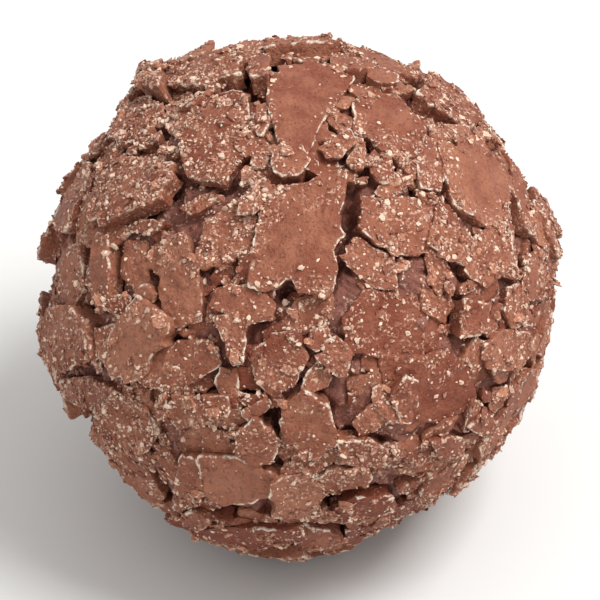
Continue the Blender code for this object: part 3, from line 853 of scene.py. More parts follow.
LOOSE_COVER = (0.7, 1.0)  # how thick loose bits lie, and how far patches of them differ from that
LOOSE_PATCHES = 3.2  # millimetres from patch to patch
DRIFTS = (
    # The crumbly side of the show face, up and to the left
    Drift(-5.5, 9.2, 3.4, 2.0),
    Drift(-8.6, 6.0, 3.0, 1.6),
    Drift(-9.5, 11.5, 3.0, 1.8),
    Drift(-2.6, 5.7, 1.4, 2.2),
    Drift(-4.2, 3.4, 2.0, 0.8),
    # The sandy plate, and the crumbs round it
    Drift(5.8, 4.3, 2.4, 1.6),
    Drift(4.4, 8.6, 2.0, 1.1),
    Drift(4.2, 2.4, 1.6, 1.0),
    Drift(-0.4, -0.2, 1.6, 1.2),
    Drift(9.8, 2.4, 2.0, 0.7),
    Drift(-5.6, -5.4, 2.2, 0.5),
    Drift(1.6, -9.0, 3.0, 0.8),
    Drift(-12.5, -3.0, 3.4, 0.6),
    Drift(9.5, 10.5, 3.0, 0.9),
    Drift(13.0, 4.0, 3.0, 0.5),
    Drift(-10.0, -7.6, 2.4, 0.9),
    Drift(0.5, -13.0, 3.0, -0.3),
    # The clean faces
    Drift(0.0, 3.9, 2.4, -1.0),
    Drift(0.0, 11.4, 2.1, -1.2),
    Drift(10.4, 6.9, 2.3, -1.5),
    Drift(5.1, 10.4, 1.6, -0.7),
    Drift(5.4, -1.8, 2.8, -0.1),
    Drift(7.2, -5.2, 2.8, -0.4),
    Drift(-3.4, -10.4, 2.2, -1.2),
    Drift(-7.0, 0.8, 2.2, -0.9),
    Drift(-9.6, -2.6, 1.6, -0.5),
)


def cover_at(out: np.ndarray, relief: Relief) -> np.ndarray:
    """How thick loose bits lie at unit directions: patches of noise, and the drifts of the show face.

    Args:
        out: one unit direction in each row.
        relief: the noise that gathers them in patches.

    Returns:
        The cover, where 1 is middling.
    """
    right, up, outward = show_axes()
    cover = LOOSE_COVER[0] + LOOSE_COVER[1] * relief.layered(out * COAT_RADIUS + 60, LOOSE_PATCHES, 2)
    seen = np.column_stack([out @ right, out @ up]) * BALL_RADIUS
    front = 1 / (1 + np.exp(-(out @ outward) * 12))
    for drift in DRIFTS:
        apart = np.hypot(seen[:, 0] - drift.right, seen[:, 1] - drift.up)
        cover = cover + drift.extra * front * np.exp(-((apart / drift.radius) ** 2))
    return np.maximum(cover, 0.05)


@dataclass(frozen=True)
class Coat:
    """The coat of chocolate under the flakes, which shows in the gaps and where few flakes stuck."""

    layout: Layout
    relief: Relief
    foot: np.ndarray  # the middle of the foot, seen from the ball's middle
    plates: list[Plate]  # the shards pressed into it
    moat: tuple[float, float] = (0.42, 0.62)  # width and depth of the gap that opened round each shard
    moat_patches: float = 2.2  # how far apart the open stretches of that gap are
    flush: float = 0.3  # a shard with less lift than this is melted in, with no gap round it
    cells: int = 120  # along each side of the six faces of a cube that is blown up to a ball
    sunk: float = 0.05  # how far the coat lies below the solid's own
    lumps: tuple[float, float] = (2.3, 0.12)  # size and height
    pebbles: tuple[float, float] = (0.9, 0.40)
    grain: tuple[float, float] = (0.5, 0.09)
    crack: float = 0.12  # width of the dip round a pebble
    crack_depth: float = 0.16

    def directions(self) -> tuple[np.ndarray, np.ndarray]:
        """Unit directions on a grid over each face of a cube, evened out by the tangent, and the triangles."""
        steps = np.tan(np.linspace(-math.pi / 4, math.pi / 4, self.cells + 1))
        first, second = (side.ravel() for side in np.meshgrid(steps, steps, indexing="ij"))
        numbers = np.arange(first.size).reshape(self.cells + 1, -1)
        corners = [numbers[:-1, :-1], numbers[1:, :-1], numbers[1:, 1:], numbers[:-1, 1:]]
        quads = np.stack([corner.ravel() for corner in corners], axis=1)
        points, triangles = [], []
        for axis in range(3):
            for sign in (1, -1):
                face = np.empty((first.size, 3))
                face[:, axis] = sign
                face[:, (axis + 1) % 3] = first * sign
                face[:, (axis + 2) % 3] = second
                triangles.append(quads_to_triangles(quads) + len(points) * first.size)
                points.append(face)
        return weld(unit(np.vstack(points)), np.vstack(triangles))

    def height(self, out: np.ndarray) -> np.ndarray:
        """How far the coat rises over the round ball: the solid's swell, lumps, half-buried pebbles and grain."""
        places = out * COAT_RADIUS
        number, edge = self.relief.fragments(places, self.pebbles[0])
        dip = 1 - np.exp(-((edge / self.crack) ** 2))
        rise = self.lumps[1] * self.relief.layered(places, self.lumps[0])
        rise += self.pebbles[1] * (number - 0.5) * dip - self.crack_depth * (1 - dip)
        rise += self.grain[1] * self.relief.layered(places + 40, self.grain[0], 2)
        width, depth = self.moat
        gaps, lifts = nearest_gap(places, self.plates, width)
        closed = np.clip(gaps / width, 0, 1)
        patches = np.clip(0.6 + 1.2 * self.relief.smooth(places + 20, self.moat_patches), 0, 1)
        patches *= np.clip((lifts - self.flush) / self.flush, 0, 1)
        rise -= depth * patches * (1 - closed * closed * (3 - 2 * closed))
        rise -= sum(opening.depth * opening.share(places) for opening in OPENINGS)
        return self.layout.swell(out) + rise - self.sunk

    def settle(self, points: np.ndarray) -> np.ndarray:
        """Flattens the underside: level out to the foot's radius, then up in a smooth curve into the ball."""
        ring = np.hypot(points[:, 0] - self.foot[0], points[:, 1] - self.foot[1])
        share = np.clip((ring - FOOT_RADIUS) / FOOT_SPREAD, 0, 1)
        share = share * share * (3 - 2 * share)
        level = -FOOT_DROP + share * np.maximum(points[:, 2] + FOOT_DROP, 0)
        under = (points[:, 2] < 0) & (ring < FOOT_RADIUS + FOOT_SPREAD)
        settled = points.copy()
        settled[:, 2] = np.where(under, level, np.maximum(points[:, 2], -FOOT_DROP))
        return settled

    def skin(self) -> Skin:
        """The whole coat."""
        out, triangles = self.directions()
        points = self.settle(out * (COAT_RADIUS + self.height(out))[:, None])
        number, _ = self.relief.fragments(out * COAT_RADIUS, self.pebbles[0])
        sand = np.minimum(cover_at(out, self.relief), 1)
        return Skin(points, triangles, {"tone": number * 2 - 1, "sand": sand})


def weld(points: np.ndarray, triangles: np.ndarray) -> tuple[np.ndarray, np.ndarray]:
    """Joins points that lie in one place, so that the seams between grids are closed."""
    keys = np.round(points * 1e6).astype(np.int64)
    _, first, number = np.unique(keys, axis=0, return_index=True, return_inverse=True)
    return points[first], number.ravel()[triangles]


@dataclass(frozen=True)
class FlakeForm:
    """How a broken flake of tempered chocolate is shaped, in millimetres."""

    spacing: float = 0.18  # between points on its face
    rounding: float = 0.05  # radians over which a corner is blunted
    spill: float = 1.11  # how much larger than its plane-faced shard a flake is
    settled: float = 0.07  # how far its face lies below the shard's, so that crumbs have room
    ragged: tuple[tuple[float, float], ...] = ((1.3, 0.10), (0.55, 0.11), (0.26, 0.06))  # size, depth
    bites: tuple[float, float] = (1.7, 0.5)  # size, depth of the notches in its edge
    shallow: float = 0.4  # an opening deeper than this is a gap that cuts a flake short
    cut_short: float = 0.2
    bow: float = 34.0  # radius that its face bends to
    melted: float = 0.3  # a flake with less lift than this is melted in, and follows the ball
    waves: tuple[float, float] = (1.4, 0.10)
    grain: tuple[float, float] = (0.42, 0.085)
    brow: tuple[float, float] = (0.08, 0.05)  # width and depth of the worn edge round the face
    step_share: float = 0.6  # of the flakes that broke in layers
    step_depth: tuple[float, float] = (0.07, 0.17)
    step_width: float = 0.09
    body: float = 0.55  # thickness sunk in the coat, on top of the lift
    lip: tuple[float, float] = (0.16, 0.42)  # down the wall, where the flake's own thickness ends and it is all in
    undercut: tuple[float, float] = (0.21, 0.45)  # how far it lies in under the lip, and at most this share of it
    wall_spacing: float = 0.34
    wall_noise: tuple[float, float] = (0.5, 0.08)
    powder: tuple[float, float] = (0.14, 0.16)  # how far the scuffed edge reaches in over the face and down the wall


@dataclass(frozen=True)
class Flake:
    """One flake: a plate with a grainy, stepped face, a ragged edge and broken walls that slope in underneath."""

    plate: Plate
    number: int
    form: FlakeForm
    relief: Relief

    def edge(self, angles: np.ndarray, corners: np.ndarray, half: np.ndarray) -> np.ndarray:
        """The broken outline: blunted corners, ragged noise, a few bites, and cut short at a dark gap.

        Args:
            angles: directions in the flake's plane, stretched so that it is about as wide as long.
            corners: its corners, stretched likewise.
            half: half its length and width.

        Returns:
            The share of the half length and width that the outline reaches along each angle.
        """
        form = self.form
        blunt = sum(
            share * outline_reach(angles + turn, corners)
            for turn, share in ((-form.rounding, 0.25), (0.0, 0.5), (form.rounding, 0.25))
        )
        around = np.stack([np.cos(angles) * half[0], np.sin(angles) * half[1], np.zeros_like(angles)], axis=-1)
        around = around * blunt[:, None] + 9.7 * self.number
        broken = sum(depth * self.relief.smooth(around, size) for size, depth in form.ragged)
        bite = np.maximum(self.relief.smooth(around + 5, form.bites[0]) - 0.3, 0) * form.bites[1]
        bite *= min(half.mean() / form.bites[0], 1)
        reach = blunt * form.spill + (broken - bite) / half.mean()
        ends = np.stack([np.cos(angles) * half[0], np.sin(angles) * half[1]], axis=-1) * reach[:, None]
        places = self.plate.middle + ends @ self.plate.axes()[:2]
        gap = np.max([opening.share(places) * (opening.depth > form.shallow) for opening in OPENINGS], axis=0)
        return np.maximum(reach * (1 - form.cut_short * gap), 0.3)

    def face_height(self, flat: np.ndarray, inset: np.ndarray, rng: np.random.Generator) -> np.ndarray:
        """How far the face stands over its plane: bow, waves, grain, a broken step and the worn edge.

        Args:
            flat: places in the flake's plane, in millimetres.
            inset: how far each is in from the edge.
            rng: where the step's draws come from.

        Returns:
            The height at each place.
        """
        form = self.form
        places = np.column_stack([flat, np.full(len(flat), 7.9 * self.number)])
        radius = BALL_RADIUS if self.plate.lift < form.melted else form.bow
        height = -form.settled - (flat**2).sum(axis=1) / (2 * radius)
        height += form.waves[1] * self.relief.layered(places, form.waves[0], 2)
        height += form.grain[1] * self.relief.layered(places, form.grain[0], 2)
        height -= form.brow[1] * np.exp(-((inset / form.brow[0]) ** 2))
        turn, offset = rng.uniform(0, 2 * math.pi), rng.uniform(-0.3, 0.5) * np.abs(flat).max()
        past = flat @ np.array([math.cos(turn), math.sin(turn)]) - offset
        past += 0.35 * self.relief.smooth(places + 3, 0.9)
        depth = rng.uniform(*form.step_depth) * (rng.uniform() < form.step_share)
        return height - depth / (1 + np.exp(-past / form.step_width * 2))

    def skin(self) -> Skin:
        """The whole flake: a grid over its face, closer set near the edge, rings down its walls and a fan below."""
        form, rng = self.form, np.random.default_rng(self.number)
        axes = self.plate.axes()
        spread = (self.plate.corners - self.plate.middle) @ axes[:2].T
        half = np.abs(spread).max(axis=0)
        counts = np.maximum(np.round(2 * half / form.spacing).astype(int), 5)
        first, second = np.meshgrid(*(np.linspace(-1, 1, count + 1) for count in counts), indexing="ij")
        share = np.maximum(np.abs(first), np.abs(second)).ravel()
        share = (share + np.sin(math.pi / 2 * share)) / 2
        angles = np.arctan2(second, first).ravel()
        edge = self.edge(angles, spread / half, half)
        flat = np.stack([np.cos(angles) * half[0], np.sin(angles) * half[1]], axis=-1) * (edge * share)[:, None]
        inset = (1 - share) * np.linalg.norm(flat, axis=1) / np.maximum(share, 0.05)
        height = self.face_height(flat, inset, rng)
        numbers = np.arange(flat.shape[0]).reshape(counts + 1)
        rim = np.concatenate([numbers[:-1, 0], numbers[-1, :-1], numbers[:0:-1, -1], numbers[0, :0:-1]])
        quads = np.stack(
            [corner.ravel() for corner in (numbers[:-1, :-1], numbers[1:, :-1], numbers[1:, 1:], numbers[:-1, 1:])],
            axis=1,
        )
        walls, rings, depths = self.walls(flat[rim], height[rim], numbers.size)
        rings = np.vstack([rim, rings])
        centre = numbers.size + rings[1:].size
        fan = np.stack([np.roll(rings[-1], -1), rings[-1], np.full(rim.size, centre)], axis=1)
        low = np.array([[0.0, 0.0, -self.thickness()]])
        local = np.vstack([np.column_stack([flat, height]), walls, low])
        points = self.plate.middle + local @ axes
        broken = np.exp(-((np.concatenate([inset / form.powder[0], depths / form.powder[1], [9.0]])) ** 2))
        broken *= np.clip((self.plate.lift - form.melted) / form.melted + 0.4, 0.1, 1)
        # the plate's tone, which on the shards at the bottom edge holds painted shade
        tone = np.full(len(points), rng.normal(self.plate.tone, self.plate.tone_spread))
        sand = np.minimum(cover_at(unit(points), self.relief), 1)
        triangles = np.vstack([quads_to_triangles(quads), ring_walls(rings), fan])
        return Skin(points, triangles, {"broken": broken, "tone": tone, "sand": sand})

    def thickness(self) -> float:
        """From the face down to the underside, which is sunk in the coat."""
        return self.plate.lift + self.form.body

    def walls(self, rim: np.ndarray, height: np.ndarray, start: int) -> tuple[np.ndarray, np.ndarray, np.ndarray]:
        """Rings of points down from the rim, each further in, pushed about by noise.

        Args:
            rim: the face's edge in the flake's plane.
            height: the face's height there.
            start: the number of the first new point.

        Returns:
            The new points in the flake's own directions, their numbers, one ring in each row, and how far each
            lies below the rim.
        """
        form, thickness = self.form, self.thickness()
        levels = max(2, round(thickness / form.wall_spacing))
        share = (np.arange(1, levels + 1) / levels)[:, None]
        down = share**1.5 * (thickness + height)
        outward = unit(rim)
        places = np.concatenate([np.tile(rim, (levels, 1)), (9.1 * self.number + down).reshape(-1, 1)], axis=1)
        size, amount = form.wall_noise
        shift = amount * self.relief.layered(places, size, 2).reshape(levels, -1)
        narrowest = np.abs(rim).max(axis=0).min()
        under = np.clip((down - form.lip[0]) / form.lip[1], 0, 1)
        shift -= min(form.undercut[0], form.undercut[1] * narrowest) * under
        flat = rim + outward * shift[..., None]
        points = np.concatenate([flat, (height - down)[..., None]], axis=2).reshape(-1, 3)
        return points, start + np.arange(len(points)).reshape(levels, -1), down.ravel()


class Bit(Enum):
    """The shapes of loose bits: each a small closed form of a few dozen faces at most."""

    CHIP = "chip"
    CRUMB = "crumb"
    DUST = "dust"

    def form(self) -> tuple[np.ndarray, np.ndarray]:
        """The bit's points, from -1 to 1, and its triangles."""
        if self is Bit.CHIP:
            return ringed_bit(6, ((0.9, 0.86), (-0.9, 0.94)))
        if self is Bit.CRUMB:
            return ringed_bit(5, ((0.45, 0.89), (-0.45, 0.89)), twist=0.5)
        return ringed_bit(4, ((0.0, 1.0),))


def ringed_bit(
    sides: int, rings: tuple[tuple[float, float], ...], twist: float = 0.0
) -> tuple[np.ndarray, np.ndarray]:
    """A closed form of rings between two tips.

    Args:
        sides: how many points each ring has.
        rings: each one's height and radius, from the top.
        twist: how far each ring is turned past the one above, in steps.

    Returns:
        The points and the triangles.
    """
    points = [[0.0, 0.0, 1.0]]
    for number, (height, radius) in enumerate(rings):
        angles = 2 * math.pi * (np.arange(sides) - twist * number) / sides
        points.extend(np.column_stack([radius * np.cos(angles), radius * np.sin(angles), np.full(sides, height)]))
    points.append([0.0, 0.0, -1.0])
    numbers = 1 + np.arange(len(rings) * sides).reshape(len(rings), sides)
    first, last, end = numbers[0], numbers[-1], len(points) - 1
    caps = [
        np.stack([np.zeros(sides, int), first, np.roll(first, -1)], axis=1),
        np.stack([np.full(sides, end), np.roll(last, -1), last], axis=1),
    ]
    if len(rings) > 1:
        caps.append(ring_walls(numbers))
    return np.array(points, float), np.vstack(caps)


@dataclass(frozen=True)
class Surface:
    """The coat and the flakes together, as something that loose bits can land on."""

    tree: BVHTree
    layout: Layout

    @staticmethod
    def of(skins: list[Skin], layout: Layout) -> "Surface":
        """Gathers the skins into one tree of triangles."""
        whole = Skin.joined([Skin(skin.points, skin.triangles, {}) for skin in skins])
        tree = BVHTree.FromPolygons(whole.points.tolist(), whole.triangles.tolist())
        return Surface(tree, layout)

    def landed(self, out: np.ndarray) -> tuple[np.ndarray, np.ndarray]:
        """Where bits that fall straight towards the middle come to lie.

        Args:
            out: one unit direction in each row.

        Returns:
            The places and the way the surface faces there.
        """
        start = 1.4 * COAT_RADIUS
        hits = [self.tree.ray_cast(Vector(ray * start), Vector(-ray)) for ray in out]
        return np.array([hit[0] for hit in hits]), np.array([hit[1] for hit in hits])


def round_about(rng: np.random.Generator, count: int) -> np.ndarray:
    """Unit directions spread evenly at random."""
    return unit(rng.normal(size=(count, 3)))


def turned_frames(rng: np.random.Generator, normals: np.ndarray, tilt: float) -> np.ndarray:
    """Three square directions for each bit: its own up leans at random from the surface's normal.

    Args:
        rng: where the draws come from.
        normals: the way the surface faces under each bit.
        tilt: how far a bit leans, as the spread of a bell curve, in radians.

    Returns:
        A matrix for each bit, with its directions in the rows.
    """
    up = unit(normals + np.tan(tilt) * rng.normal(size=normals.shape))
    first = unit(np.cross(up, rng.normal(size=normals.shape)))
    return np.stack([first, np.cross(up, first), up], axis=1)


@dataclass(frozen=True)
class Scatter:
    """Loose bits of one kind, strewn over the truffle."""

    bit: Bit
    count: int
    edge_share: float  # of the bits that lie along the edges of flakes
    size: tuple[float, float]  # smallest and largest length, in millimetres
    leaning_small: float  # the power that makes most of them small
    width: tuple[float, float]
    height: tuple[float, float]
    tilt: float
    sunk: float  # share of its half height that a bit is pressed in
    uneven: float
    seed: int

    def along_edges(self, rng: np.random.Generator, plates: list[Plate], count: int) -> np.ndarray:
        """Directions just in from or out past the edges of flakes, longer edges taking more of them."""
        starts = np.vstack([plate.corners for plate in plates])
        ends = np.vstack([np.roll(plate.corners, -1, axis=0) for plate in plates])
        lengths = np.linalg.norm(ends - starts, axis=1)
        chosen = rng.choice(len(starts), count, p=lengths / lengths.sum())
        share = rng.uniform(size=(count, 1))
        places = starts[chosen] * (1 - share) + ends[chosen] * share
        return unit(places + rng.normal(0, 0.16, places.shape))

    def directions(self, rng: np.random.Generator, plates: list[Plate], relief: Relief) -> np.ndarray:
        """Where the bits fall: part of them anywhere, part along edges, both thinned by the cover."""
        edged = int(self.count * self.edge_share)
        tries = 6
        picked = []
        for out, wanted in (
            (round_about(rng, tries * (self.count - edged)), self.count - edged),
            (self.along_edges(rng, plates, tries * edged), edged),
        ):
            cover = cover_at(out, relief)
            picked.append(out[rng.uniform(size=len(out)) < cover / 3.5][:wanted])
        return np.vstack(picked)

    def skin(self, surface: Surface, plates: list[Plate], relief: Relief, room: np.ndarray) -> Skin:
        """All the bits as one mesh: a shared form, stretched, roughened, turned and laid on the surface.

        Args:
            surface: what they land on.
            plates: the flakes, for the bits along their edges.
            relief: the noise that gathers them in patches.
            room: the lowest and highest corner of the box that they stay in, from the ball's middle.

        Returns:
            The bits.
        """
        rng = np.random.default_rng(self.seed)
        places, normals = surface.landed(self.directions(rng, plates, relief))
        level = COAT_RADIUS + surface.layout.swell(unit(places))
        shallow = np.linalg.norm(places, axis=1) > level - rng.uniform(0, 0.7, len(places)) ** 2
        high = shallow & (places[:, 2] > room[0, 2] + 0.6)
        places, normals = places[high], normals[high]
        count = len(places)
        form, triangles = self.bit.form()
        lengths = self.size[0] + (self.size[1] - self.size[0]) * rng.uniform(size=count) ** self.leaning_small
        shares = [np.ones(count), rng.uniform(*self.width, count), rng.uniform(*self.height, count)]
        half = np.stack(shares, axis=1) * lengths[:, None] / 2
        shape = form + rng.normal(0, self.uneven, (count, *form.shape))
        frames = turned_frames(rng, normals, self.tilt)
        centres = places + normals * (half[:, 2] * (1 - self.sunk))[:, None]
        centres = np.clip(centres, room[0] + lengths[:, None] / 2, room[1] - lengths[:, None] / 2)
        points = centres[:, None] + np.einsum("bpi,bij->bpj", shape * half[:, None], frames)
        numbers = triangles + len(form) * np.arange(count)[:, None, None]
        tone = np.repeat(np.clip(rng.normal(0, 0.5, count), -1, 1), len(form))
        return Skin(points.reshape(-1, 3), numbers.reshape(-1, 3), {"tone": tone, "sand": np.ones_like(tone)})


def linear(hex_colour: str) -> tuple[float, float, float, float]:
    """Turns an sRGB hex colour into linear light, by the standard's own curve."""
    shares = [int(hex_colour[place : place + 2], 16) / 255 for place in (0, 2, 4)]
    light = [share / 12.92 if share <= 0.04045 else ((share + 0.055) / 1.055) ** 2.4 for share in shares]
    return (light[0], light[1], light[2], 1.0)


def add_node(
    tree: bpy.types.NodeTree, kind: str, inputs: dict[str | int, object] | None = None, **settings: object
) -> bpy.types.Node:
    """Adds one node.

    Args:
        tree: where it goes.
        kind: its type.
        inputs: for each socket, a value or the output that feeds it.
        settings: the node's own choices.

    Returns:
        The node.
    """
    node = tree.nodes.new(kind)
    for name, value in settings.items():
        setattr(node, name, value)
    for socket, value in (inputs or {}).items():
        if isinstance(value, bpy.types.NodeSocket):
            tree.links.new(value, node.inputs[socket])
        else:
            node.inputs[socket].default_value = value
    return node


def per_mm(size: float) -> float:
    """The scale of a pattern whose features are this many millimetres apart."""
    return 1 / (size * MM)


@dataclass(frozen=True)
class ChocolateFinish:
    """Milk chocolate as one way of working it leaves it. Colours are sRGB hex values."""

    name: str
    deep: str  # the darker of the two colours that cloud into each other
    pale: str
    cloud_size: float  # millimetres
    cut: str  # freshly broken chocolate, where the surface is scuffed to powder
    cut_size: float
    cut_amount: float
    fleck: str  # powder caught on the face
    fleck_size: float
    fleck_share: float
    sand_shift: float  # how much of the powder is only there where loose bits lie thick
    pore: str
    pore_amount: float
    roughness: tuple[float, float]
    grain: tuple[float, float]  # size in millimetres, and how strong the bump is
    tone_shift: float  # how far the tone of a flake moves it between the two colours

    def clouds(self, tree: bpy.types.NodeTree, place: bpy.types.NodeSocket) -> bpy.types.NodeSocket:
        """The two colours, mixed by soft noise and by each flake's tone, which darkens the shards at the bottom edge
        as painted shade.
        """
        noise = add_node(
            tree,
            "ShaderNodeTexNoise",
            {"Vector": place, "Scale": per_mm(self.cloud_size), "Detail": 6.0, "Roughness": 0.72},
        )
        tone = add_node(tree, "ShaderNodeAttribute", attribute_name="tone")
        shifted = add_node(
            tree,
            "ShaderNodeMath",
            {0: tone.outputs["Fac"], 1: self.tone_shift, 2: noise.outputs["Fac"]},
            operation="MULTIPLY_ADD",
        )
        ramp = add_node(
            tree, "ShaderNodeMapRange", {"Value": shifted.outputs[0], "From Min": 0.29, "From Max": 0.71}
        )
        return add_node(
            tree,
            "ShaderNodeMix",
            {0: ramp.outputs[0], 6: linear(self.deep), 7: linear(self.pale)},
            data_type="RGBA",
        ).outputs[2]

    def scuffed(
        self, tree: bpy.types.NodeTree, place: bpy.types.NodeSocket, colour: bpy.types.NodeSocket
    ) -> bpy.types.NodeSocket:
        """The pale, powdery line where an edge is broken, in patches."""
        broken = add_node(tree, "ShaderNodeAttribute", attribute_name="broken")
        patches = add_node(
            tree,
            "ShaderNodeTexNoise",
            {"Vector": place, "Scale": per_mm(self.cut_size), "Detail": 4.0, "Roughness": 0.7},
        )
        share = add_node(
            tree, "ShaderNodeMapRange", {"Value": patches.outputs["Fac"], "From Min": 0.44, "From Max": 0.60}
        )
        amount = add_node(
            tree, "ShaderNodeMath", {0: broken.outputs["Fac"], 1: share.outputs[0]}, operation="MULTIPLY"
        )
        held = add_node(
            tree,
            "ShaderNodeMapRange",
            {"Value": amount.outputs[0], "From Min": 0.3, "From Max": 0.75, "To Max": self.cut_amount},
        )
        return add_node(
            tree, "ShaderNodeMix", {0: held.outputs[0], 6: colour, 7: linear(self.cut)}, data_type="RGBA"
        ).outputs[2]

    def flecked(
        self, tree: bpy.types.NodeTree, place: bpy.types.NodeSocket, colour: bpy.types.NodeSocket
    ) -> bpy.types.NodeSocket:
        """Specks of powder on the face, and darker pores between them: the peaks and the dips of fine noise.

        The powder is kept only where broader, patchy noise allows.
        """
        grains = add_node(
            tree,
            "ShaderNodeTexNoise",
            {"Vector": place, "Scale": per_mm(self.fleck_size), "Detail": 2.0, "Roughness": 0.6},
        )
        patches = add_node(
            tree, "ShaderNodeTexNoise", {"Vector": place, "Scale": per_mm(self.fleck_size * 5), "Detail": 2.0}
        )
        peaks = add_node(
            tree, "ShaderNodeMapRange", {"Value": grains.outputs["Fac"], "From Min": 0.54, "From Max": 0.66}
        )
        pores = add_node(
            tree,
            "ShaderNodeMapRange",
            {"Value": grains.outputs["Fac"], "From Min": 0.46, "From Max": 0.32, "To Max": self.pore_amount},
        )
        sand = add_node(tree, "ShaderNodeAttribute", attribute_name="sand")
        sanded = add_node(
            tree,
            "ShaderNodeMath",
            {0: sand.outputs["Fac"], 1: self.sand_shift, 2: patches.outputs["Fac"]},
            operation="MULTIPLY_ADD",
        )
        low, high = 1 + self.sand_shift - self.fleck_share, 1.1 + self.sand_shift - self.fleck_share
        kept = add_node(tree, "ShaderNodeMapRange", {"Value": sanded.outputs[0], "From Min": low, "From Max": high})
        amount = add_node(tree, "ShaderNodeMath", {0: peaks.outputs[0], 1: kept.outputs[0]}, operation="MULTIPLY")
        pored = add_node(
            tree, "ShaderNodeMix", {0: pores.outputs[0], 6: colour, 7: linear(self.pore)}, data_type="RGBA"
        ).outputs[2]
        return add_node(
            tree, "ShaderNodeMix", {0: amount.outputs[0], 6: pored, 7: linear(self.fleck)}, data_type="RGBA"
        ).outputs[2]

    def bumped(self, tree: bpy.types.NodeTree, place: bpy.types.NodeSocket) -> bpy.types.NodeSocket:
        """The fine grain of the surface, drawn a little coarser than sugar and cocoa really are, so that it shows."""
        noise = add_node(
            tree,
            "ShaderNodeTexNoise",
            {"Vector": place, "Scale": per_mm(self.grain[0]), "Detail": 5.0, "Roughness": 0.65},
        )
        return add_node(
            tree,
            "ShaderNodeBump",
            {"Height": noise.outputs["Fac"], "Strength": self.grain[1], "Distance": self.grain[0] * MM},
        ).outputs[0]

    def material(self) -> bpy.types.Material:
        """The finish as a material."""
        made = bpy.data.materials.new(self.name)
        made.use_nodes = True
        tree = made.node_tree
        place = add_node(tree, "ShaderNodeTexCoord").outputs["Object"]
        colour = self.flecked(tree, place, self.scuffed(tree, place, self.clouds(tree, place)))
        gloss = add_node(
            tree, "ShaderNodeTexNoise", {"Vector": place, "Scale": per_mm(self.cloud_size / 2), "Detail": 3.0}
        )
        rough = add_node(
            tree,
            "ShaderNodeMapRange",
            {"Value": gloss.outputs["Fac"], "From Min": 0.3, "From Max": 0.7, "To Min": self.roughness[0], "To Max": self.roughness[1]},
        )
        shader = tree.nodes["Principled BSDF"]
        tree.links.new(colour, shader.inputs["Base Color"])
        tree.links.new(rough.outputs[0], shader.inputs["Roughness"])
        tree.links.new(self.bumped(tree, place), shader.inputs["Normal"])
        shader.inputs["IOR"].default_value = 1.46
        shader.inputs["Specular IOR Level"].default_value = 0.4
        return made


# Tempered milk chocolate, set in a sheet and broken up: an even mid brown with a soft sheen on its faces, and
# pale, powdery lines where it snapped
SNAPPED_FLAKE = ChocolateFinish(
    name="snapped_milk_chocolate",
    deep="773822",
    pale="A0664C",
    cloud_size=1.6,
    cut="E3CFBB",
    cut_size=1.0,
    cut_amount=1.0,
    fleck="C8A28B",
    fleck_size=0.18,
    fleck_share=0.57,
    sand_shift=0.25,
    pore="54291F",
    pore_amount=0.55,
    roughness=(0.45, 0.65),
    grain=(0.18, 1.0),
    tone_shift=0.22,
)
# The enrobing coat, poured on and knocked about by the flakes: darker, redder and with more shine
POURED_COAT = ChocolateFinish(
    name="enrobed_milk_chocolate",
    deep="60342A",
    pale="865243",
    cloud_size=1.2,
    cut="B08070",
    cut_size=0.5,
    cut_amount=0.5,
    fleck="B08A78",
    fleck_size=0.2,
    fleck_share=0.54,
    sand_shift=0.2,
    pore="46231C",
    pore_amount=0.6,
    roughness=(0.38, 0.55),
    grain=(0.2, 0.8),
    tone_shift=0.2,
)
# Chips that broke off the flakes: lighter, because more of their surface is scuffed
SCUFFED_CHIP = ChocolateFinish(
    name="scuffed_chocolate_chips",
    deep="763E2C",
    pale="AA7055",
    cloud_size=0.9,
    cut="D8BAA4",
    cut_size=0.4,
    cut_amount=0.8,
    fleck="D2B6A0",
    fleck_size=0.17,
    fleck_share=0.60,
    sand_shift=0.0,
    pore="5A2E23",
    pore_amount=0.5,
    roughness=(0.5, 0.7),
    grain=(0.15, 0.7),
    tone_shift=0.35,
)
# Crumbs and dust: chocolate ground so fine that it scatters light and looks cream to tan
GROUND_CRUMB = ChocolateFinish(
    name="ground_chocolate_crumbs",
    deep="854F3B",
    pale="CFB39D",
    cloud_size=0.4,
    cut="E5DCCE",
    cut_size=0.3,
    cut_amount=0.5,
    fleck="E2D3C2",
    fleck_size=0.12,
    fleck_share=0.5,
    sand_shift=0.0,
    pore="A06A50",
    pore_amount=0.4,
    roughness=(0.55, 0.75),
    grain=(0.1, 0.4),
    tone_shift=0.6,
)


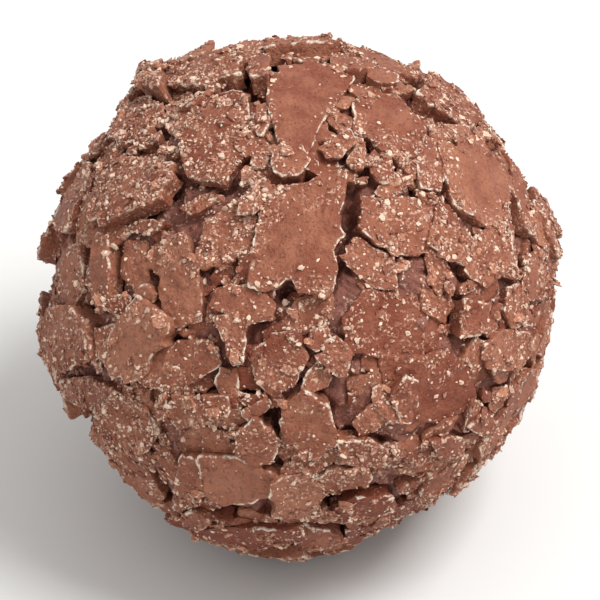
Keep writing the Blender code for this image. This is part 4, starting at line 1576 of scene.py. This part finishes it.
@dataclass(frozen=True)
class Studio:
    """A pale floor, soft light and the camera, in metres and watts."""

    middle: np.ndarray
    distance: float = 0.35
    frame_width: float = 0.03462  # what the picture spans at the ball's middle
    sensor: float = 36.0
    floor_size: float = 3.0
    floor_colour: str = "CECDCB"
    sky: float = 0.95
    key_watts: float = 1.7
    key_size: float = 0.17
    key_place: tuple[float, float, float] = (0.175, -0.06, 0.345)

    def floor(self) -> None:
        """The floor: matt and pale, in one flat colour."""
        mesh = bpy.data.meshes.new("floor")
        side = self.floor_size / 2
        level = CAD_LOW[2] - 0.02 * MM
        mesh.from_pydata([(-side, -side, level), (side, -side, level), (side, side, level), (-side, side, level)], [], [(0, 1, 2, 3)])
        made = bpy.data.objects.new("floor", mesh)
        bpy.context.scene.collection.objects.link(made)
        material = bpy.data.materials.new("matt_white_board")
        material.use_nodes = True
        shader = material.node_tree.nodes["Principled BSDF"]
        shader.inputs["Base Color"].default_value = linear(self.floor_colour)
        shader.inputs["Roughness"].default_value = 0.9
        mesh.materials.append(material)

    def lamp(self, name: str, place: tuple[float, float, float], size: float, watts: float) -> None:
        """A square soft light that looks at the ball's middle."""
        light = bpy.data.lights.new(name, "AREA")
        light.size = size
        light.energy = watts
        made = bpy.data.objects.new(name, light)
        made.location = Vector(self.middle) + Vector(place)
        made.rotation_euler = Vector(place).to_track_quat("Z", "Y").to_euler()
        bpy.context.scene.collection.objects.link(made)

    def sky_light(self) -> None:
        """Even light from all round."""
        world = bpy.data.worlds.new("studio")
        world.use_nodes = True
        world.node_tree.nodes["Background"].inputs["Strength"].default_value = self.sky
        world.node_tree.nodes["Background"].inputs["Color"].default_value = (1.0, 1.0, 1.0, 1.0)
        bpy.context.scene.world = world

    def camera(self) -> None:
        """The camera, in front of the show face and as far round it as that face looks up."""
        _, _, outward = show_axes()
        data = bpy.data.cameras.new("camera")
        data.sensor_width = self.sensor
        data.lens = self.sensor * self.distance / self.frame_width
        data.clip_start = 0.01
        made = bpy.data.objects.new("camera", data)
        made.location = Vector(self.middle + outward * self.distance)
        made.rotation_euler = Vector(outward).to_track_quat("Z", "Y").to_euler()
        bpy.context.scene.collection.objects.link(made)
        bpy.context.scene.camera = made

    def build(self) -> None:
        """Sets everything up, with plain colour that keeps the chocolate's own."""
        self.camera()
        self.sky_light()
        self.lamp("key", self.key_place, self.key_size, self.key_watts)
        self.floor()
        bpy.context.scene.view_settings.view_transform = "Standard"


@dataclass(frozen=True)
class Truffle:
    """The whole truffle: the coat, the flakes pressed into it and the loose bits on them."""

    layout: Layout = field(default_factory=Layout)
    relief: Relief = field(default_factory=Relief)
    form: FlakeForm = field(default_factory=FlakeForm)
    broad: float = 4.45  # flakes longer than this, in millimetres, make one piece
    middling: float = 2.7  # and shorter than this another
    chips: Scatter = Scatter(Bit.CHIP, 1500, 0.6, (0.4, 1.2), 1.8, (0.4, 0.85), (0.14, 0.30), 0.18, 0.8, 0.17, 11)
    crumbs: Scatter = Scatter(Bit.CRUMB, 8000, 0.6, (0.17, 0.50), 2.4, (0.5, 0.95), (0.35, 0.6), 0.3, 0.65, 0.19, 12)
    dust: Scatter = Scatter(Bit.DUST, 15000, 0.5, (0.13, 0.25), 1.3, (0.5, 0.95), (0.4, 0.7), 0.4, 0.6, 0.2, 13)

    def build(self) -> np.ndarray:
        """Builds every piece.

        Returns:
            The ball's middle in the frame, in metres.
        """
        plates = self.layout.plates()
        middle = ball_middle(plates)
        foot = -middle[:2] / MM
        coat = Coat(self.layout, self.relief, foot, plates).skin()
        make_piece("coat", coat, middle, POURED_COAT.material(), 60)
        laid = plates + Underlayer(self.layout, plates).plates()
        flakes = [Flake(plate, number, self.form, self.relief).skin() for number, plate in enumerate(laid)]
        snapped = SNAPPED_FLAKE.material()
        lengths = np.array([2 * plate.reach() for plate in laid])
        for name, low, high in (
            ("broad_flakes", self.broad, math.inf),
            ("middling_flakes", self.middling, self.broad),
            ("small_flakes", 0.0, self.middling),
        ):
            chosen = [flakes[number] for number in np.flatnonzero((lengths > low) & (lengths <= high))]
            make_piece(name, Skin.joined(chosen), middle, snapped, 50)
        surface = Surface.of([coat, *flakes], self.layout)
        room = (np.array([CAD_LOW, CAD_HIGH]) - middle) / MM
        chips = self.chips.skin(surface, laid, self.relief, room)
        make_piece("chips", chips, middle, SCUFFED_CHIP.material(), 30)
        surface = Surface.of([coat, *flakes, chips], self.layout)
        ground = GROUND_CRUMB.material()
        crumbs = self.crumbs.skin(surface, laid, self.relief, room)
        make_piece("crumbs", crumbs, middle, ground, 40)
        make_piece("dust", self.dust.skin(surface, laid, self.relief, room), middle, ground, 60)
        return middle


def main() -> None:
    """Builds the truffle and the studio round it."""
    logging.basicConfig(level=logging.INFO)
    middle = Truffle().build()
    Studio(middle).build()


if __name__ == "__main__":
    main()
